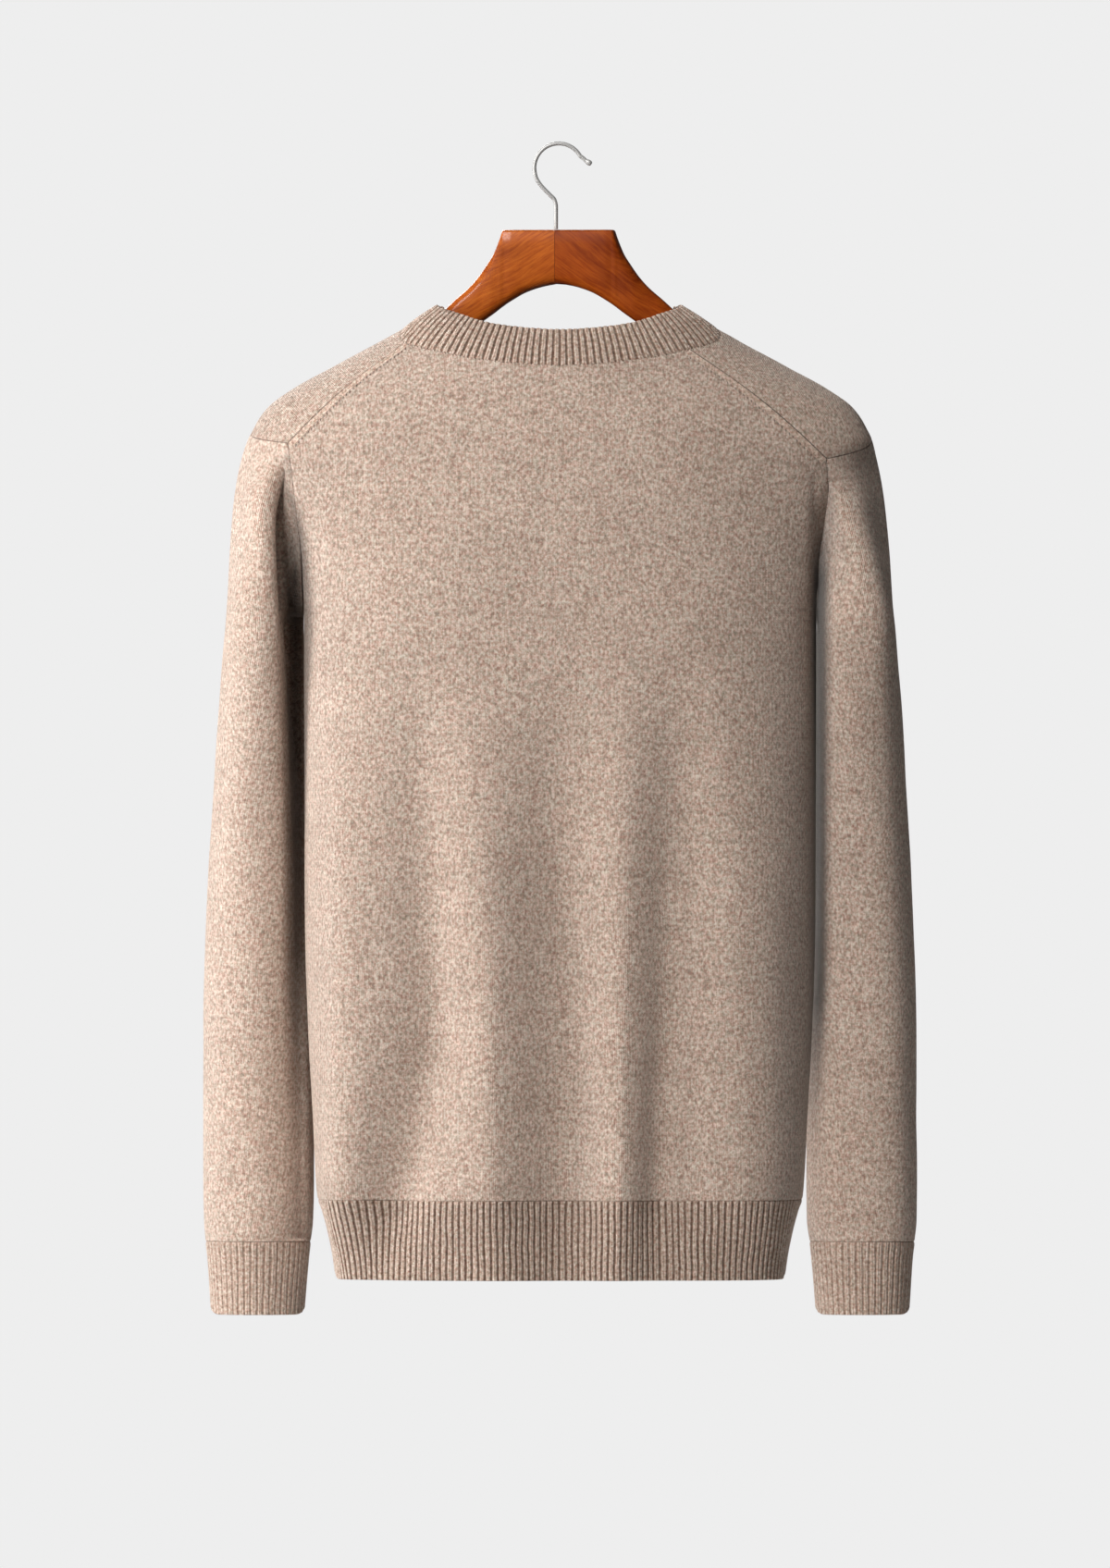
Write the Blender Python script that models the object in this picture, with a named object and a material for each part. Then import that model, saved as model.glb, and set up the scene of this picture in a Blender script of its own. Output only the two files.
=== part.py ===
"""V-neck sweater, filled out as if worn, on a wooden hanger with a steel hook.

Metres, +Z up. The origin is the inside top of the hook, where a rail touches it.
The V neck faces -Y and the back of the sweater faces +Y.

The body is one family of horizontal rings (table RING). A ring point is given by a
side (+1 at +X, -1 at -X), a ring angle a (90 deg centre back, 0 side, -90 centre
front) and a height z. The back panel, front panel and hem bands are patches of that
surface, cut along the seam functions, so neighbours share the same surface. Each
sleeve is a tube that starts on the armhole seam and runs down through sections
(table SLEEVE). Each wall is the outer surface and the same surface moved in by the
cloth's thickness.
"""
import math

import bmesh
import bpy
from mathutils import Vector

# ------------------------------------------------------------------ sizes (mm)
MM = 0.001
KNIT_WALL = 2.0          # plain knit
RIB_WALL = 2.6           # ribbed bands
SEAM_GAP = 0.32          # clearance between pieces at a seam
BODY_X = -1.0            # the garment's middle plane, seen from the hook

Z_HEM_LOW = -816.5       # lower edge of the hem band
Z_HEM_TOP = -759.0       # seam between panels and hem band
Z_UNDERARM = -339.0      # underarm point
Z_V = -305.0             # point of the V on the panel edge
Z_V_TOP = -148.0         # where the V's straight edge ends, near the shoulder
X_V_TOP = 105.0
Z_RIDGE_NECK = -131.3    # neck seam on the shoulder ridge
FRONT_ARMHOLE_DEG = 31.0 # how far the front armhole cuts into the front

Z_SLEEVE_TOP = -352.0    # first horizontal sleeve section
Z_CUFF_SEAM = -790.5
Z_CUFF_LOW = -845.5

# how many faces along each direction
BACK_COLS = 20
FRONT_HALF_COLS = 10     # also the rows of the diagonal seam
ROWS_BODY = 12
ROWS_BACK_ARM = 8
ROWS_FRONT_ARM = 9
ROWS_CAP = 3
ROWS_HEM = 2
ROWS_FAN = 5
ROWS_SLEEVE = 11
ROWS_CUFF = 2
ROWS_BAND = 2

# ------------------------------------------------------------------ tables
# body rings: height, half width, half depth, middle in y, roundness power
RING_COLUMNS = ("z", "w", "b", "c", "p")
RING = (
    (-105.0, 64.0, 44.0, -5.0, 2.10),
    (-120.0, 91.5, 52.0, -6.5, 2.12),
    (-134.7, 118.5, 60.0, -8.0, 2.15),
    (-148.0, 142.8, 67.0, -10.0, 2.20),
    (-161.3, 167.7, 73.0, -12.0, 2.20),
    (-174.7, 192.0, 79.0, -13.0, 2.25),
    (-188.0, 210.3, 84.0, -14.0, 2.25),
    (-201.3, 219.8, 87.5, -15.0, 2.30),
    (-214.7, 225.3, 90.5, -15.0, 2.30),
    (-241.0, 215.0, 94.0, -15.0, 2.30),
    (-268.0, 203.0, 97.0, -14.0, 2.32),
    (-301.0, 191.5, 99.5, -13.0, 2.35),
    (-328.0, 186.0, 101.0, -12.5, 2.40),
    (-339.0, 184.8, 101.5, -12.0, 2.40),
    (-428.0, 184.5, 101.0, -10.0, 2.40),
    (-561.0, 184.0, 98.0, -8.0, 2.40),
    (-641.0, 181.5, 96.5, -7.0, 2.40),
    (-700.0, 178.3, 95.5, -6.5, 2.40),
    (-745.0, 176.0, 95.0, -6.0, 2.40),
    (-759.0, 174.6, 94.0, -6.0, 2.40),
    (-766.0, 172.0, 92.5, -6.0, 2.40),
    (-788.0, 166.3, 89.5, -6.0, 2.38),
    (-801.0, 163.8, 88.0, -6.0, 2.36),
    (-816.5, 161.8, 87.0, -6.0, 2.35),
    (-830.0, 160.5, 86.0, -6.0, 2.35),
)

# seams of each side: ring angle of the neck corner, where the diagonal back-shoulder
# seam meets the armhole (x from the middle plane, z), and the armhole's highest point
SIDE_COLUMNS = ("neck_deg", "tee_x", "tee_z", "cap_z")
SIDES = {+1: (35.6, 195.7, -214.7, -206.7),
         -1: (50.4, 191.7, -226.0, -210.7)}

# back neck seam: ring angle, height
NECK_BACK = ((0.0, -131.3), (15.0, -134.8), (34.0, -142.3), (50.0, -147.6),
             (70.0, -155.8), (90.0, -161.3))

# back armhole: share of the way from the underarm up to the tee, x from the middle
BACK_ARMHOLE = ((0.0, 184.8), (0.12, 184.7), (0.31, 185.3), (0.57, 189.3), (0.80, 192.8))

# neckband free edge, as a step from its seam: place on the half ring (0 centre back,
# 0.5 shoulder ridge, 1 point of the V), then step inwards in x, in y and in z
BAND_EDGE = (
    (0.00, 0.0, -11.0, 26.6),
    (0.11, 9.0, -10.0, 26.4),
    (0.22, 19.5, -7.0, 26.6),
    (0.31, 25.0, -4.0, 25.6),
    (0.50, 26.5, 1.0, 15.8),
    (0.62, 22.5, 8.0, 15.0),
    (0.80, 12.5, 6.0, 30.0),
    (1.00, 0.0, 3.0, 48.0),
)

# sleeve sections: height, outer x, inner x, middle in y, half depth
SLEEVE_COLUMNS = ("z", "xo", "xi", "yc", "d")
SLEEVE = (
    (-339.0, 240.4, 184.0, -18.0, 57.5),
    (-352.0, 241.7, 183.2, -19.0, 57.0),
    (-374.7, 243.9, 181.5, -22.5, 56.0),
    (-401.3, 246.2, 180.3, -26.5, 54.5),
    (-428.0, 248.2, 179.6, -30.5, 53.0),
    (-494.7, 252.2, 178.4, -40.5, 49.5),
    (-561.3, 255.4, 178.2, -48.0, 46.5),
    (-641.3, 257.8, 178.2, -54.0, 44.0),
    (-694.7, 257.9, 178.0, -58.0, 42.0),
    (-745.0, 258.2, 177.9, -60.0, 40.5),
    (-776.0, 257.7, 178.6, -61.5, 39.0),
    (-790.5, 256.4, 180.4, -62.0, 38.0),
    (-803.0, 255.0, 181.8, -62.5, 36.0),
    (-830.0, 253.2, 184.2, -63.0, 34.0),
    (-845.5, 252.2, 185.4, -63.0, 33.3),
    (-855.0, 251.8, 185.8, -63.0, 33.0),
)

# the largest folds: face, x at three heights, height where it starts, how far the
# cloth stands out (+) or sinks (-), and its half width across
FOLD_COLUMNS = ("face", "x_high", "x_mid", "x_low", "z_start", "rise", "spread")
FOLD_Z = (-405.0, -645.0, -745.0)
FOLDS = (
    ("back", 150.0, 147.0, 146.0, -380.0, 4.0, 22.0),
    ("back", 129.0, 112.0, 124.0, -360.0, -6.5, 20.0),
    ("back", 60.0, 50.0, 48.0, -400.0, 5.5, 26.0),
    ("back", 6.0, 4.0, 3.0, -430.0, -6.5, 24.0),
    ("back", -46.0, -47.0, -45.0, -430.0, 5.0, 24.0),
    ("back", -85.0, -78.0, -74.0, -400.0, -6.5, 22.0),
    ("back", -135.0, -128.0, -126.0, -380.0, 5.0, 28.0),
    ("front", 132.0, 138.0, 140.0, -400.0, 4.5, 24.0),
    ("front", 96.0, 92.0, 88.0, -380.0, -6.5, 22.0),
    ("front", 40.0, 44.0, 42.0, -430.0, 5.0, 26.0),
    ("front", -8.0, -14.0, -12.0, -410.0, -6.0, 24.0),
    ("front", -60.0, -62.0, -64.0, -440.0, 5.0, 26.0),
    ("front", -112.0, -108.0, -112.0, -390.0, -6.5, 22.0),
)
FOLD_FULL = 330.0        # length over which a fold grows to its whole height
FOLD_AT_HEM_EDGE = 0.5   # share of a fold that is left at the hem band's edge

# hanger: x along the arm, top, bottom, contour in y (forward), half thickness
HANGER_COLUMNS = ("x", "top", "low", "y", "t")
HANGER = (
    (0.0, -60.7, -99.3, 0.0, 10.5),
    (12.0, -60.7, -101.6, 0.0, 10.5),
    (24.0, -60.7, -105.6, 0.0, 10.5),
    (34.0, -60.8, -111.2, 0.0, 10.4),
    (40.4, -61.6, -115.4, -0.3, 10.3),
    (42.3, -64.5, -116.8, -0.3, 10.3),
    (44.0, -70.7, -118.1, -0.4, 10.2),
    (47.6, -78.7, -120.8, -0.5, 10.2),
    (52.2, -86.7, -124.2, -0.6, 10.0),
    (57.8, -94.7, -128.2, -0.8, 9.8),
    (65.0, -102.7, -133.2, -1.1, 9.5),
    (74.3, -110.8, -139.0, -1.5, 9.2),
    (86.0, -121.4, -146.6, -3.4, 8.4),
    (100.0, -132.2, -155.5, -5.0, 7.8),
    (120.0, -143.4, -164.0, -7.0, 7.4),
    (145.0, -156.6, -174.5, -9.8, 7.2),
    (166.0, -168.0, -183.0, -12.4, 7.0),
    (178.0, -175.0, -187.5, -14.0, 6.4),
    (183.0, -179.0, -187.8, -14.6, 4.4),
)
HANGER_YAW = -5.5        # degrees, the hanger is turned a little in the garment
HANGER_STRAIGHTEN = 5.5  # degrees, the arms come back towards the shoulders
HANGER_SPLIT = 2.0       # x of the joint between the two halves
HANGER_ROUND = 3.0       # rounding of its long edges

# hook: stem, then the bend, then the circle, then the open end with its ball
WIRE = 1.6
HOOK_CIRCLE = (0.0, -16.0, 17.6)
HOOK_STEM = ((2.0, -60.2), (2.0, -50.0), (2.0, -44.0), (3.0, -39.2), (6.2, -35.6),
             (10.4, -31.4), (14.2, -26.9), (16.8, -21.6))
HOOK_ARC_DEG = (0.0, 150.0, 13)
HOOK_END = ((-17.6, -9.0, 1.0), (-19.3, -10.6, 1.0), (-20.6, -11.5, 1.25),
            (-21.7, -12.2, 1.40), (-22.8, -12.9, 1.25), (-23.5, -13.4, 0.75))


# ------------------------------------------------------------------ curves
class Curve:
    """A smooth curve through (place, value) rows that never overshoots them."""

    def __init__(self, rows):
        rows = sorted(rows)
        self.x = [r[0] for r in rows]
        self.y = [r[1] for r in rows]
        n = len(rows)
        step = [(self.y[i + 1] - self.y[i]) / (self.x[i + 1] - self.x[i]) for i in range(n - 1)]
        self.m = [step[0]] + [0.0] * (n - 2) + [step[-1]]
        for i in range(1, n - 1):
            if step[i - 1] * step[i] > 0:
                h0, h1 = self.x[i] - self.x[i - 1], self.x[i + 1] - self.x[i]
                w1, w2 = 2 * h1 + h0, h1 + 2 * h0
                self.m[i] = (w1 + w2) / (w1 / step[i - 1] + w2 / step[i])

    def __call__(self, t):
        xs = self.x
        if t <= xs[0]:
            return self.y[0] + self.m[0] * (t - xs[0])
        if t >= xs[-1]:
            return self.y[-1] + self.m[-1] * (t - xs[-1])
        i = 0
        while t > xs[i + 1]:
            i += 1
        h = xs[i + 1] - xs[i]
        s = (t - xs[i]) / h
        return ((1 + 2 * s) * (1 - s) ** 2 * self.y[i] + s * (1 - s) ** 2 * h * self.m[i]
                + s * s * (3 - 2 * s) * self.y[i + 1] + s * s * (s - 1) * h * self.m[i + 1])


def columns(rows, names):
    return {name: Curve([(r[0], r[k]) for r in rows]) for k, name in enumerate(names) if k}


ring_of = columns(RING, RING_COLUMNS)
sleeve_of = columns(SLEEVE, SLEEVE_COLUMNS)
hanger_of = columns(HANGER, HANGER_COLUMNS)
band_of = columns(BAND_EDGE, ("q", "dx", "dy", "dz"))
neck_back_z = Curve(NECK_BACK)


def mix(a, b, t):
    return a + (b - a) * t


def smoothstep(lo, hi, t):
    t = min(1.0, max(0.0, (t - lo) / (hi - lo)))
    return t * t * (3 - 2 * t)


# ------------------------------------------------------------------ body surface
def squircle(a, p):
    ca, sa = math.cos(a), math.sin(a)
    r = (abs(ca) ** p + abs(sa) ** p) ** (-1.0 / p)
    return ca * r, sa * r


def angle_at(x, z):
    """Ring angle whose distance from the middle plane is x, at height z."""
    p = ring_of["p"](z)
    ratio = min(1.0, max(1e-6, x / ring_of["w"](z)))
    return math.atan((ratio ** -p - 1.0) ** (1.0 / p))


def fold_rise(face, x, z):
    total = 0.0
    for row in FOLDS:
        f = dict(zip(FOLD_COLUMNS, row))
        if f["face"] != face or z > f["z_start"]:
            continue
        if z > FOLD_Z[1]:
            xc = mix(f["x_high"], f["x_mid"], (z - FOLD_Z[0]) / (FOLD_Z[1] - FOLD_Z[0]))
        else:
            xc = mix(f["x_mid"], f["x_low"], (z - FOLD_Z[1]) / (FOLD_Z[2] - FOLD_Z[1]))
        grow = smoothstep(0.0, FOLD_FULL, f["z_start"] - z)
        total += f["rise"] * grow * math.exp(-((x - xc) / f["spread"]) ** 2)
    fade = mix(1.0, FOLD_AT_HEM_EDGE, smoothstep(-Z_HEM_TOP - 10.0, -Z_HEM_LOW, -z))
    return total * fade


def body_point(side, a, z):
    p = ring_of["p"](z)
    cx, sy = squircle(a, p)
    w, b = ring_of["w"](z), ring_of["b"](z)
    x, y = w * cx, ring_of["c"](z) + b * sy
    if z < -350.0:
        gx = abs(cx) ** (p - 1) / w
        gy = math.copysign(abs(sy) ** (p - 1) / b, sy)
        k = math.hypot(gx, gy)
        d = fold_rise("back" if sy > 0 else "front", BODY_X + side * x, z)
        d *= smoothstep(0.12, 0.50, abs(math.sin(a)))
        x += d * gx / k
        y += d * gy / k
    return Vector((BODY_X + side * x, y, z))


def body_normal(side, a, z):
    da, dz = 0.004, 0.4
    ta = body_point(side, a + da, z) - body_point(side, a - da, z)
    tz = body_point(side, a, z + dz) - body_point(side, a, z - dz)
    n = ta.cross(tz) * side
    return n.normalized()


def body_wall(side, a, z, wall):
    outer = body_point(side, a, z)
    return outer, outer - body_normal(side, a, z) * wall


def half_width_at(y, z):
    """Half width of the body at depth y, 0 where the body does not reach."""
    p = ring_of["p"](z)
    k = abs(y - ring_of["c"](z)) / ring_of["b"](z)
    return 0.0 if k >= 1.0 else ring_of["w"](z) * (1.0 - k ** p) ** (1.0 / p)


# ------------------------------------------------------------------ seams
def tee(side):
    _, x, z, _ = SIDES[side]
    return angle_at(x, z), z


def neck_corner(side):
    a = math.radians(SIDES[side][0])
    return a, neck_back_z(math.degrees(a))


def back_armhole(side, t):
    """From the underarm (t=0) up to the tee (t=1): ring angle, height."""
    _, tx, tz, _ = SIDES[side]
    z = mix(Z_UNDERARM, tz, t)
    x = Curve(BACK_ARMHOLE + ((1.0, tx),))(t)
    return (0.0 if t <= 0 else angle_at(x, z)), z


def front_armhole(side, t):
    """From the underarm (t=0) up to the armhole's highest point (t=1)."""
    t = 1.0 - (1.0 - t) ** 1.25
    z = mix(Z_UNDERARM, SIDES[side][3], t)
    return -math.radians(FRONT_ARMHOLE_DEG) * math.sin(math.pi * t) ** 0.8 if 0 < t < 1 else 0.0, z


def cap_seam(side, t):
    """From the armhole's highest point (t=0) back to the tee (t=1)."""
    ta, tz = tee(side)
    return ta * t, mix(SIDES[side][3], tz, t)


def diagonal_seam(side, t):
    """Back-shoulder seam from the neck corner (t=0) to the tee (t=1)."""
    na, nz = neck_corner(side)
    ta, tz = tee(side)
    cx, _ = squircle(na, ring_of["p"](nz))
    x0, x1 = ring_of["w"](nz) * cx, SIDES[side][1]
    z = mix(nz, tz, t) + 2.5 * math.sin(math.pi * t)
    x = mix(x0, x1, t) + 2.5 * math.sin(math.pi * t)
    if t <= 0:
        return na, nz
    if t >= 1:
        return ta, tz
    return angle_at(x, z), z


def neck_half(q, side):
    """Neck seam on one side, q: 0 centre back, 0.5 shoulder ridge, 1 the V's point."""
    if q <= 0.5:
        deg = 90.0 * (1 - 2 * q)
        return math.radians(deg), neck_back_z(deg)
    t = 2 * (1 - q)
    straight = 0.76
    if t <= straight:
        k = t / straight
        z = mix(Z_V, Z_V_TOP, k)
        return -angle_at(max(X_V_TOP * k, 1e-4), z), z
    k = (t - straight) / (1 - straight)
    a = -angle_at(X_V_TOP, Z_V_TOP) * (1 - k)
    return a, mix(Z_RIDGE_NECK, Z_V_TOP, (1 - k) ** 1.8)


def neck_corner_q(side):
    return 0.5 * (1 - SIDES[side][0] / 90.0)


# ------------------------------------------------------------------ patches
def back_patch(col, row):
    """col 0..BACK_COLS across, row 0 at the hem seam up to the neck."""
    u = 2.0 * col / BACK_COLS - 1.0
    side = 1 if u >= 0 else -1
    r1, r2 = ROWS_BODY, ROWS_BODY + ROWS_BACK_ARM
    last = r2 + FRONT_HALF_COLS
    z_tee_mid = -226.0
    if row <= r1:
        ze = zc = mix(Z_HEM_TOP, Z_UNDERARM, row / r1)
        ae = 0.15 / ring_of["b"](ze)
    elif row <= r2:
        t = (row - r1) / ROWS_BACK_ARM
        ae, ze = back_armhole(side, t)
        zc = mix(Z_UNDERARM, z_tee_mid, t)
    else:
        t = (row - r2) / FRONT_HALF_COLS
        ae, ze = diagonal_seam(side, 1.0 - t)
        ae += 0.0026
        zc = mix(z_tee_mid, neck_back_z(90.0), t)
    k = abs(u)
    a = math.pi / 2 + (ae - math.pi / 2) * k
    z = mix(zc, ze, k * k)
    if row == last:                       # the neck edge follows its own curve
        a = math.pi / 2 + (neck_corner(side)[0] - math.pi / 2) * k + 0.0026 * (k ** 8)
        z = neck_back_z(math.degrees(a))
    return side, a, z


def front_right_end(side, row):
    r1 = ROWS_BODY
    if row <= r1:
        z = mix(Z_HEM_TOP, Z_UNDERARM, row / r1)
        return -0.15 / ring_of["b"](z), z
    r2 = r1 + ROWS_FRONT_ARM
    if row <= r2:
        return front_armhole(side, (row - r1) / ROWS_FRONT_ARM)
    return cap_seam(side, (row - r2) / ROWS_CAP)


def front_left_end(side, row):
    r1 = ROWS_BODY
    rows = ROWS_FRONT_ARM + ROWS_CAP - 1
    if row <= r1:
        return -math.pi / 2, mix(Z_HEM_TOP, Z_UNDERARM, row / r1)
    t = (row - r1 - 1) / rows
    return neck_half(mix(1.0, neck_corner_q(side), t), side)


def front_patch(side, col, row):
    """col 0 at the middle or neck edge, FRONT_HALF_COLS at the side or armhole."""
    last = ROWS_BODY + ROWS_FRONT_ARM + ROWS_CAP
    k = col / FRONT_HALF_COLS
    if row == last:
        a, z = diagonal_seam(side, k)
        return side, a - 0.0026, z
    a0, z0 = front_left_end(side, row)
    a1, z1 = front_right_end(side, row)
    bend = smoothstep(last - 5, last, row)      # upper rows follow the diagonal seam's bow
    if bend > 0:
        da, dz = diagonal_seam(side, k)
        na, nz = neck_corner(side)
        ta, tz = tee(side)
        a = mix(a0, a1, k) + bend * (da - mix(na, ta, k))
        z = mix(z0, z1, k) + bend * (dz - mix(nz, tz, k))
        return side, a, z
    return side, mix(a0, a1, k), mix(z0, z1, k)


# ------------------------------------------------------------------ sleeves
def armhole_at(side, phi):
    """Seam point for the sleeve angle phi (deg): 180 underarm, 52 tee, 0 cap, then
    down the front to -180."""
    if phi >= 52.0:
        return back_armhole(side, (180.0 - phi) / 128.0)
    if phi >= 0.0:
        return cap_seam(side, phi / 52.0)
    return front_armhole(side, 1.0 + phi / 180.0)


def armhole_frame(side, phi):
    a, z = armhole_at(side, phi)
    here, n = body_point(side, a, z), body_normal(side, a, z)

    def near(step):
        q = phi + step
        q = q - 360.0 if q > 180.0 else (q + 360.0 if q < -180.0 else q)
        return body_point(side, *armhole_at(side, q))
    along = (near(7.0) - near(-7.0)).normalized()
    out = along.cross(n) * side
    out = (out - n * out.dot(n)).normalized()
    return here, n, out


def sleeve_section(side, phi, z):
    r = math.radians(phi)
    cx, sy = squircle(r, 2.2)
    xo, xi = sleeve_of["xo"](z), sleeve_of["xi"](z)
    x = (xo + xi) / 2 + (xo - xi) / 2 * cx
    y = sleeve_of["yc"](z) + sleeve_of["d"](z) * sy
    if z > Z_HEM_LOW - 20:
        clear = half_width_at(y, z) + 1.8          # the sleeve lies against the body
        x = (x + clear + math.hypot(x - clear, 2.4)) / 2
    return Vector((BODY_X + side * x, y, z))


def fold_back_angle(phi):
    """How far the sleeve turns away from the panel at the seam: a half turn at the
    underarm, none over the top."""
    off = 180.0 - abs(phi)
    return math.pi * (1.0 - smoothstep(0.0, 75.0, off))


def sleeve_fan(side, phi, w):
    here, n, out = armhole_frame(side, phi)
    turn = fold_back_angle(phi)
    lean = smoothstep(math.pi / 2, math.pi, turn)
    start = here + SEAM_GAP * mix(1.7, 1.2, smoothstep(25.0, 45.0, abs(phi))) * (out * (1 - lean * 0.7) + n * lean).normalized()
    foot = sleeve_section(side, phi, Z_SLEEVE_TOP)
    low = sleeve_section(side, phi, Z_SLEEVE_TOP - 4.0)
    span = (foot - start).length
    down = Vector((0.3 * side, 0.0, -1.0))
    down = (down - n * down.dot(n)).normalized()
    hang = 1.0 - smoothstep(70.0, 150.0, abs(phi))
    leave = (out * (1.0 - 0.85 * hang) + down * hang).normalized()
    m0 = (leave * math.cos(turn) + n * math.sin(turn)) * span * mix(0.75, 0.25, smoothstep(10.0, 65.0, abs(phi)))
    m1 = (low - foot) / 4.0 * span
    h00, h10 = (1 + 2 * w) * (1 - w) ** 2, w * (1 - w) ** 2
    h01, h11 = w * w * (3 - 2 * w), w * w * (w - 1)
    return start * h00 + m0 * h10 + foot * h01 + m1 * h11


def sleeve_point(side, phi, v):
    """v 0..1 from the armhole to the first section, then 1..2 to the cuff seam."""
    if v < 1.0:
        return sleeve_fan(side, phi, max(0.0, v))
    return sleeve_section(side, phi, mix(Z_SLEEVE_TOP, Z_CUFF_SEAM, v - 1.0))


def cuff_point(side, phi, v):
    return sleeve_section(side, phi, mix(Z_CUFF_SEAM - SEAM_GAP, Z_CUFF_LOW, v))


def tube_normal(fn, side, phi, v, lo, hi):
    dp, dv = 2.0, 0.01
    a = fn(side, phi + dp if phi + dp <= 180 else phi + dp - 360, v)
    b = fn(side, phi - dp if phi - dp >= -180 else phi - dp + 360, v)
    c = fn(side, phi, min(hi, v + dv))
    d = fn(side, phi, max(lo, v - dv))
    return ((a - b).cross(d - c) * side).normalized()


def sleeve_phis():
    back = [180.0 - 128.0 * j / ROWS_BACK_ARM for j in range(ROWS_BACK_ARM)]
    cap = [52.0 - 52.0 * j / ROWS_CAP for j in range(ROWS_CAP)]
    front = [-180.0 * j / ROWS_FRONT_ARM for j in range(ROWS_FRONT_ARM)]
    return back + cap + front


def sleeve_wall(side, phi, v):
    outer = sleeve_point(side, phi, v)
    n = tube_normal(sleeve_point, side, phi, v, 0.0, 2.0)
    if v <= 0.0:                              # the cut edge stays on its side of the seam
        _, _, out = armhole_frame(side, phi)
        n = (n - out * max(0.0, n.dot(out))).normalized()
    return outer, outer - n * KNIT_WALL


def cuff_wall(side, phi, v):
    outer = cuff_point(side, phi, v)
    n = tube_normal(cuff_point, side, phi, v, 0.0, 1.0)
    n.z = 0.0
    return outer, outer - n.normalized() * RIB_WALL


# ------------------------------------------------------------------ neckband
def band_ring():
    """(side, q) of every column, once round: right corner, back, left, V, right."""
    ring = []
    for i in range(BACK_COLS):
        u = 2.0 * i / BACK_COLS - 1.0
        s = 1 if u >= 0 else -1
        k = abs(u)
        ring.append((s, neck_corner_q(s) * k))
    rows = ROWS_FRONT_ARM + ROWS_CAP - 1
    for i in range(rows):
        ring.append((1, mix(neck_corner_q(1), 1.0, i / rows)))
    for i in range(rows):
        ring.append((-1, mix(1.0, neck_corner_q(-1), i / rows)))
    return ring


def band_seam(side, q):
    a, z = neck_half(q, side)
    here, n = body_point(side, a, z), body_normal(side, a, z)
    dq = 0.004
    p0 = body_point(side, *neck_half(max(0.0, q - dq), side))
    p1 = body_point(side, *neck_half(min(1.0, q + dq), side))
    along = (p1 - p0).normalized()
    out = along.cross(n) * side
    if q >= 1.0:
        out = Vector((0.0, out.y, abs(out.z) + 0.5))
    if q <= 0.0:
        out.x = 0.0
    return here, n, out.normalized()


def band_point(side, q, h):
    here, n, out = band_seam(side, q)
    start = here + out * SEAM_GAP * (1.9 if q >= 1.0 else 1.0)
    step = Vector((-side * band_of["dx"](q), band_of["dy"](q), band_of["dz"](q)))
    bow = math.sin(math.pi * h) * 1.6
    return start + step * h + n * bow


def band_wall(side, q, h):
    outer = band_point(side, q, h)
    dq, dh = 0.01, 0.05
    qa, qb = q - dq, q + dq
    pa = band_point(side, qa, h) if qa >= 0 else Vector((2 * BODY_X - band_point(side, -qa, h).x,
                                                         *band_point(side, -qa, h).yz))
    pb = band_point(side, qb, h) if qb <= 1 else Vector((2 * BODY_X - band_point(side, 2 - qb, h).x,
                                                         *band_point(side, 2 - qb, h).yz))
    up = band_point(side, q, min(1.0, h + dh)) - band_point(side, q, max(0.0, h - dh))
    n = (up.cross(pb - pa) * side).normalized()
    _, _, out = band_seam(side, q)
    if h <= 0:
        n = (n - out * max(0.0, n.dot(out))).normalized()
    return outer, outer - n * RIB_WALL


# ------------------------------------------------------------------ mesh building
def clear_scene():
    for ob in list(bpy.data.objects):
        bpy.data.objects.remove(ob, do_unlink=True)


def new_collection(name):
    col = bpy.data.collections.new(name)
    bpy.context.scene.collection.children.link(col)
    return col


def material(name, colour, roughness, metallic=0.0, sheen=0.0, coat=0.0):
    m = bpy.data.materials.new(name)
    m.use_nodes = True
    b = m.node_tree.nodes["Principled BSDF"]
    b.inputs["Base Color"].default_value = (*colour, 1.0)
    b.inputs["Roughness"].default_value = roughness
    b.inputs["Metallic"].default_value = metallic
    b.inputs["Sheen Weight"].default_value = sheen
    b.inputs["Coat Weight"].default_value = coat
    return m


def finish_mesh(bm, name, col, mat, smooth_deg=40.0):
    bmesh.ops.recalc_face_normals(bm, faces=list(bm.faces))
    me = bpy.data.meshes.new(name)
    bm.to_mesh(me)
    bm.free()
    me.shade_smooth()
    me.set_sharp_from_angle(angle=math.radians(smooth_deg))
    me.materials.append(mat)
    ob = bpy.data.objects.new(name, me)
    col.objects.link(ob)
    return ob


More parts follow.
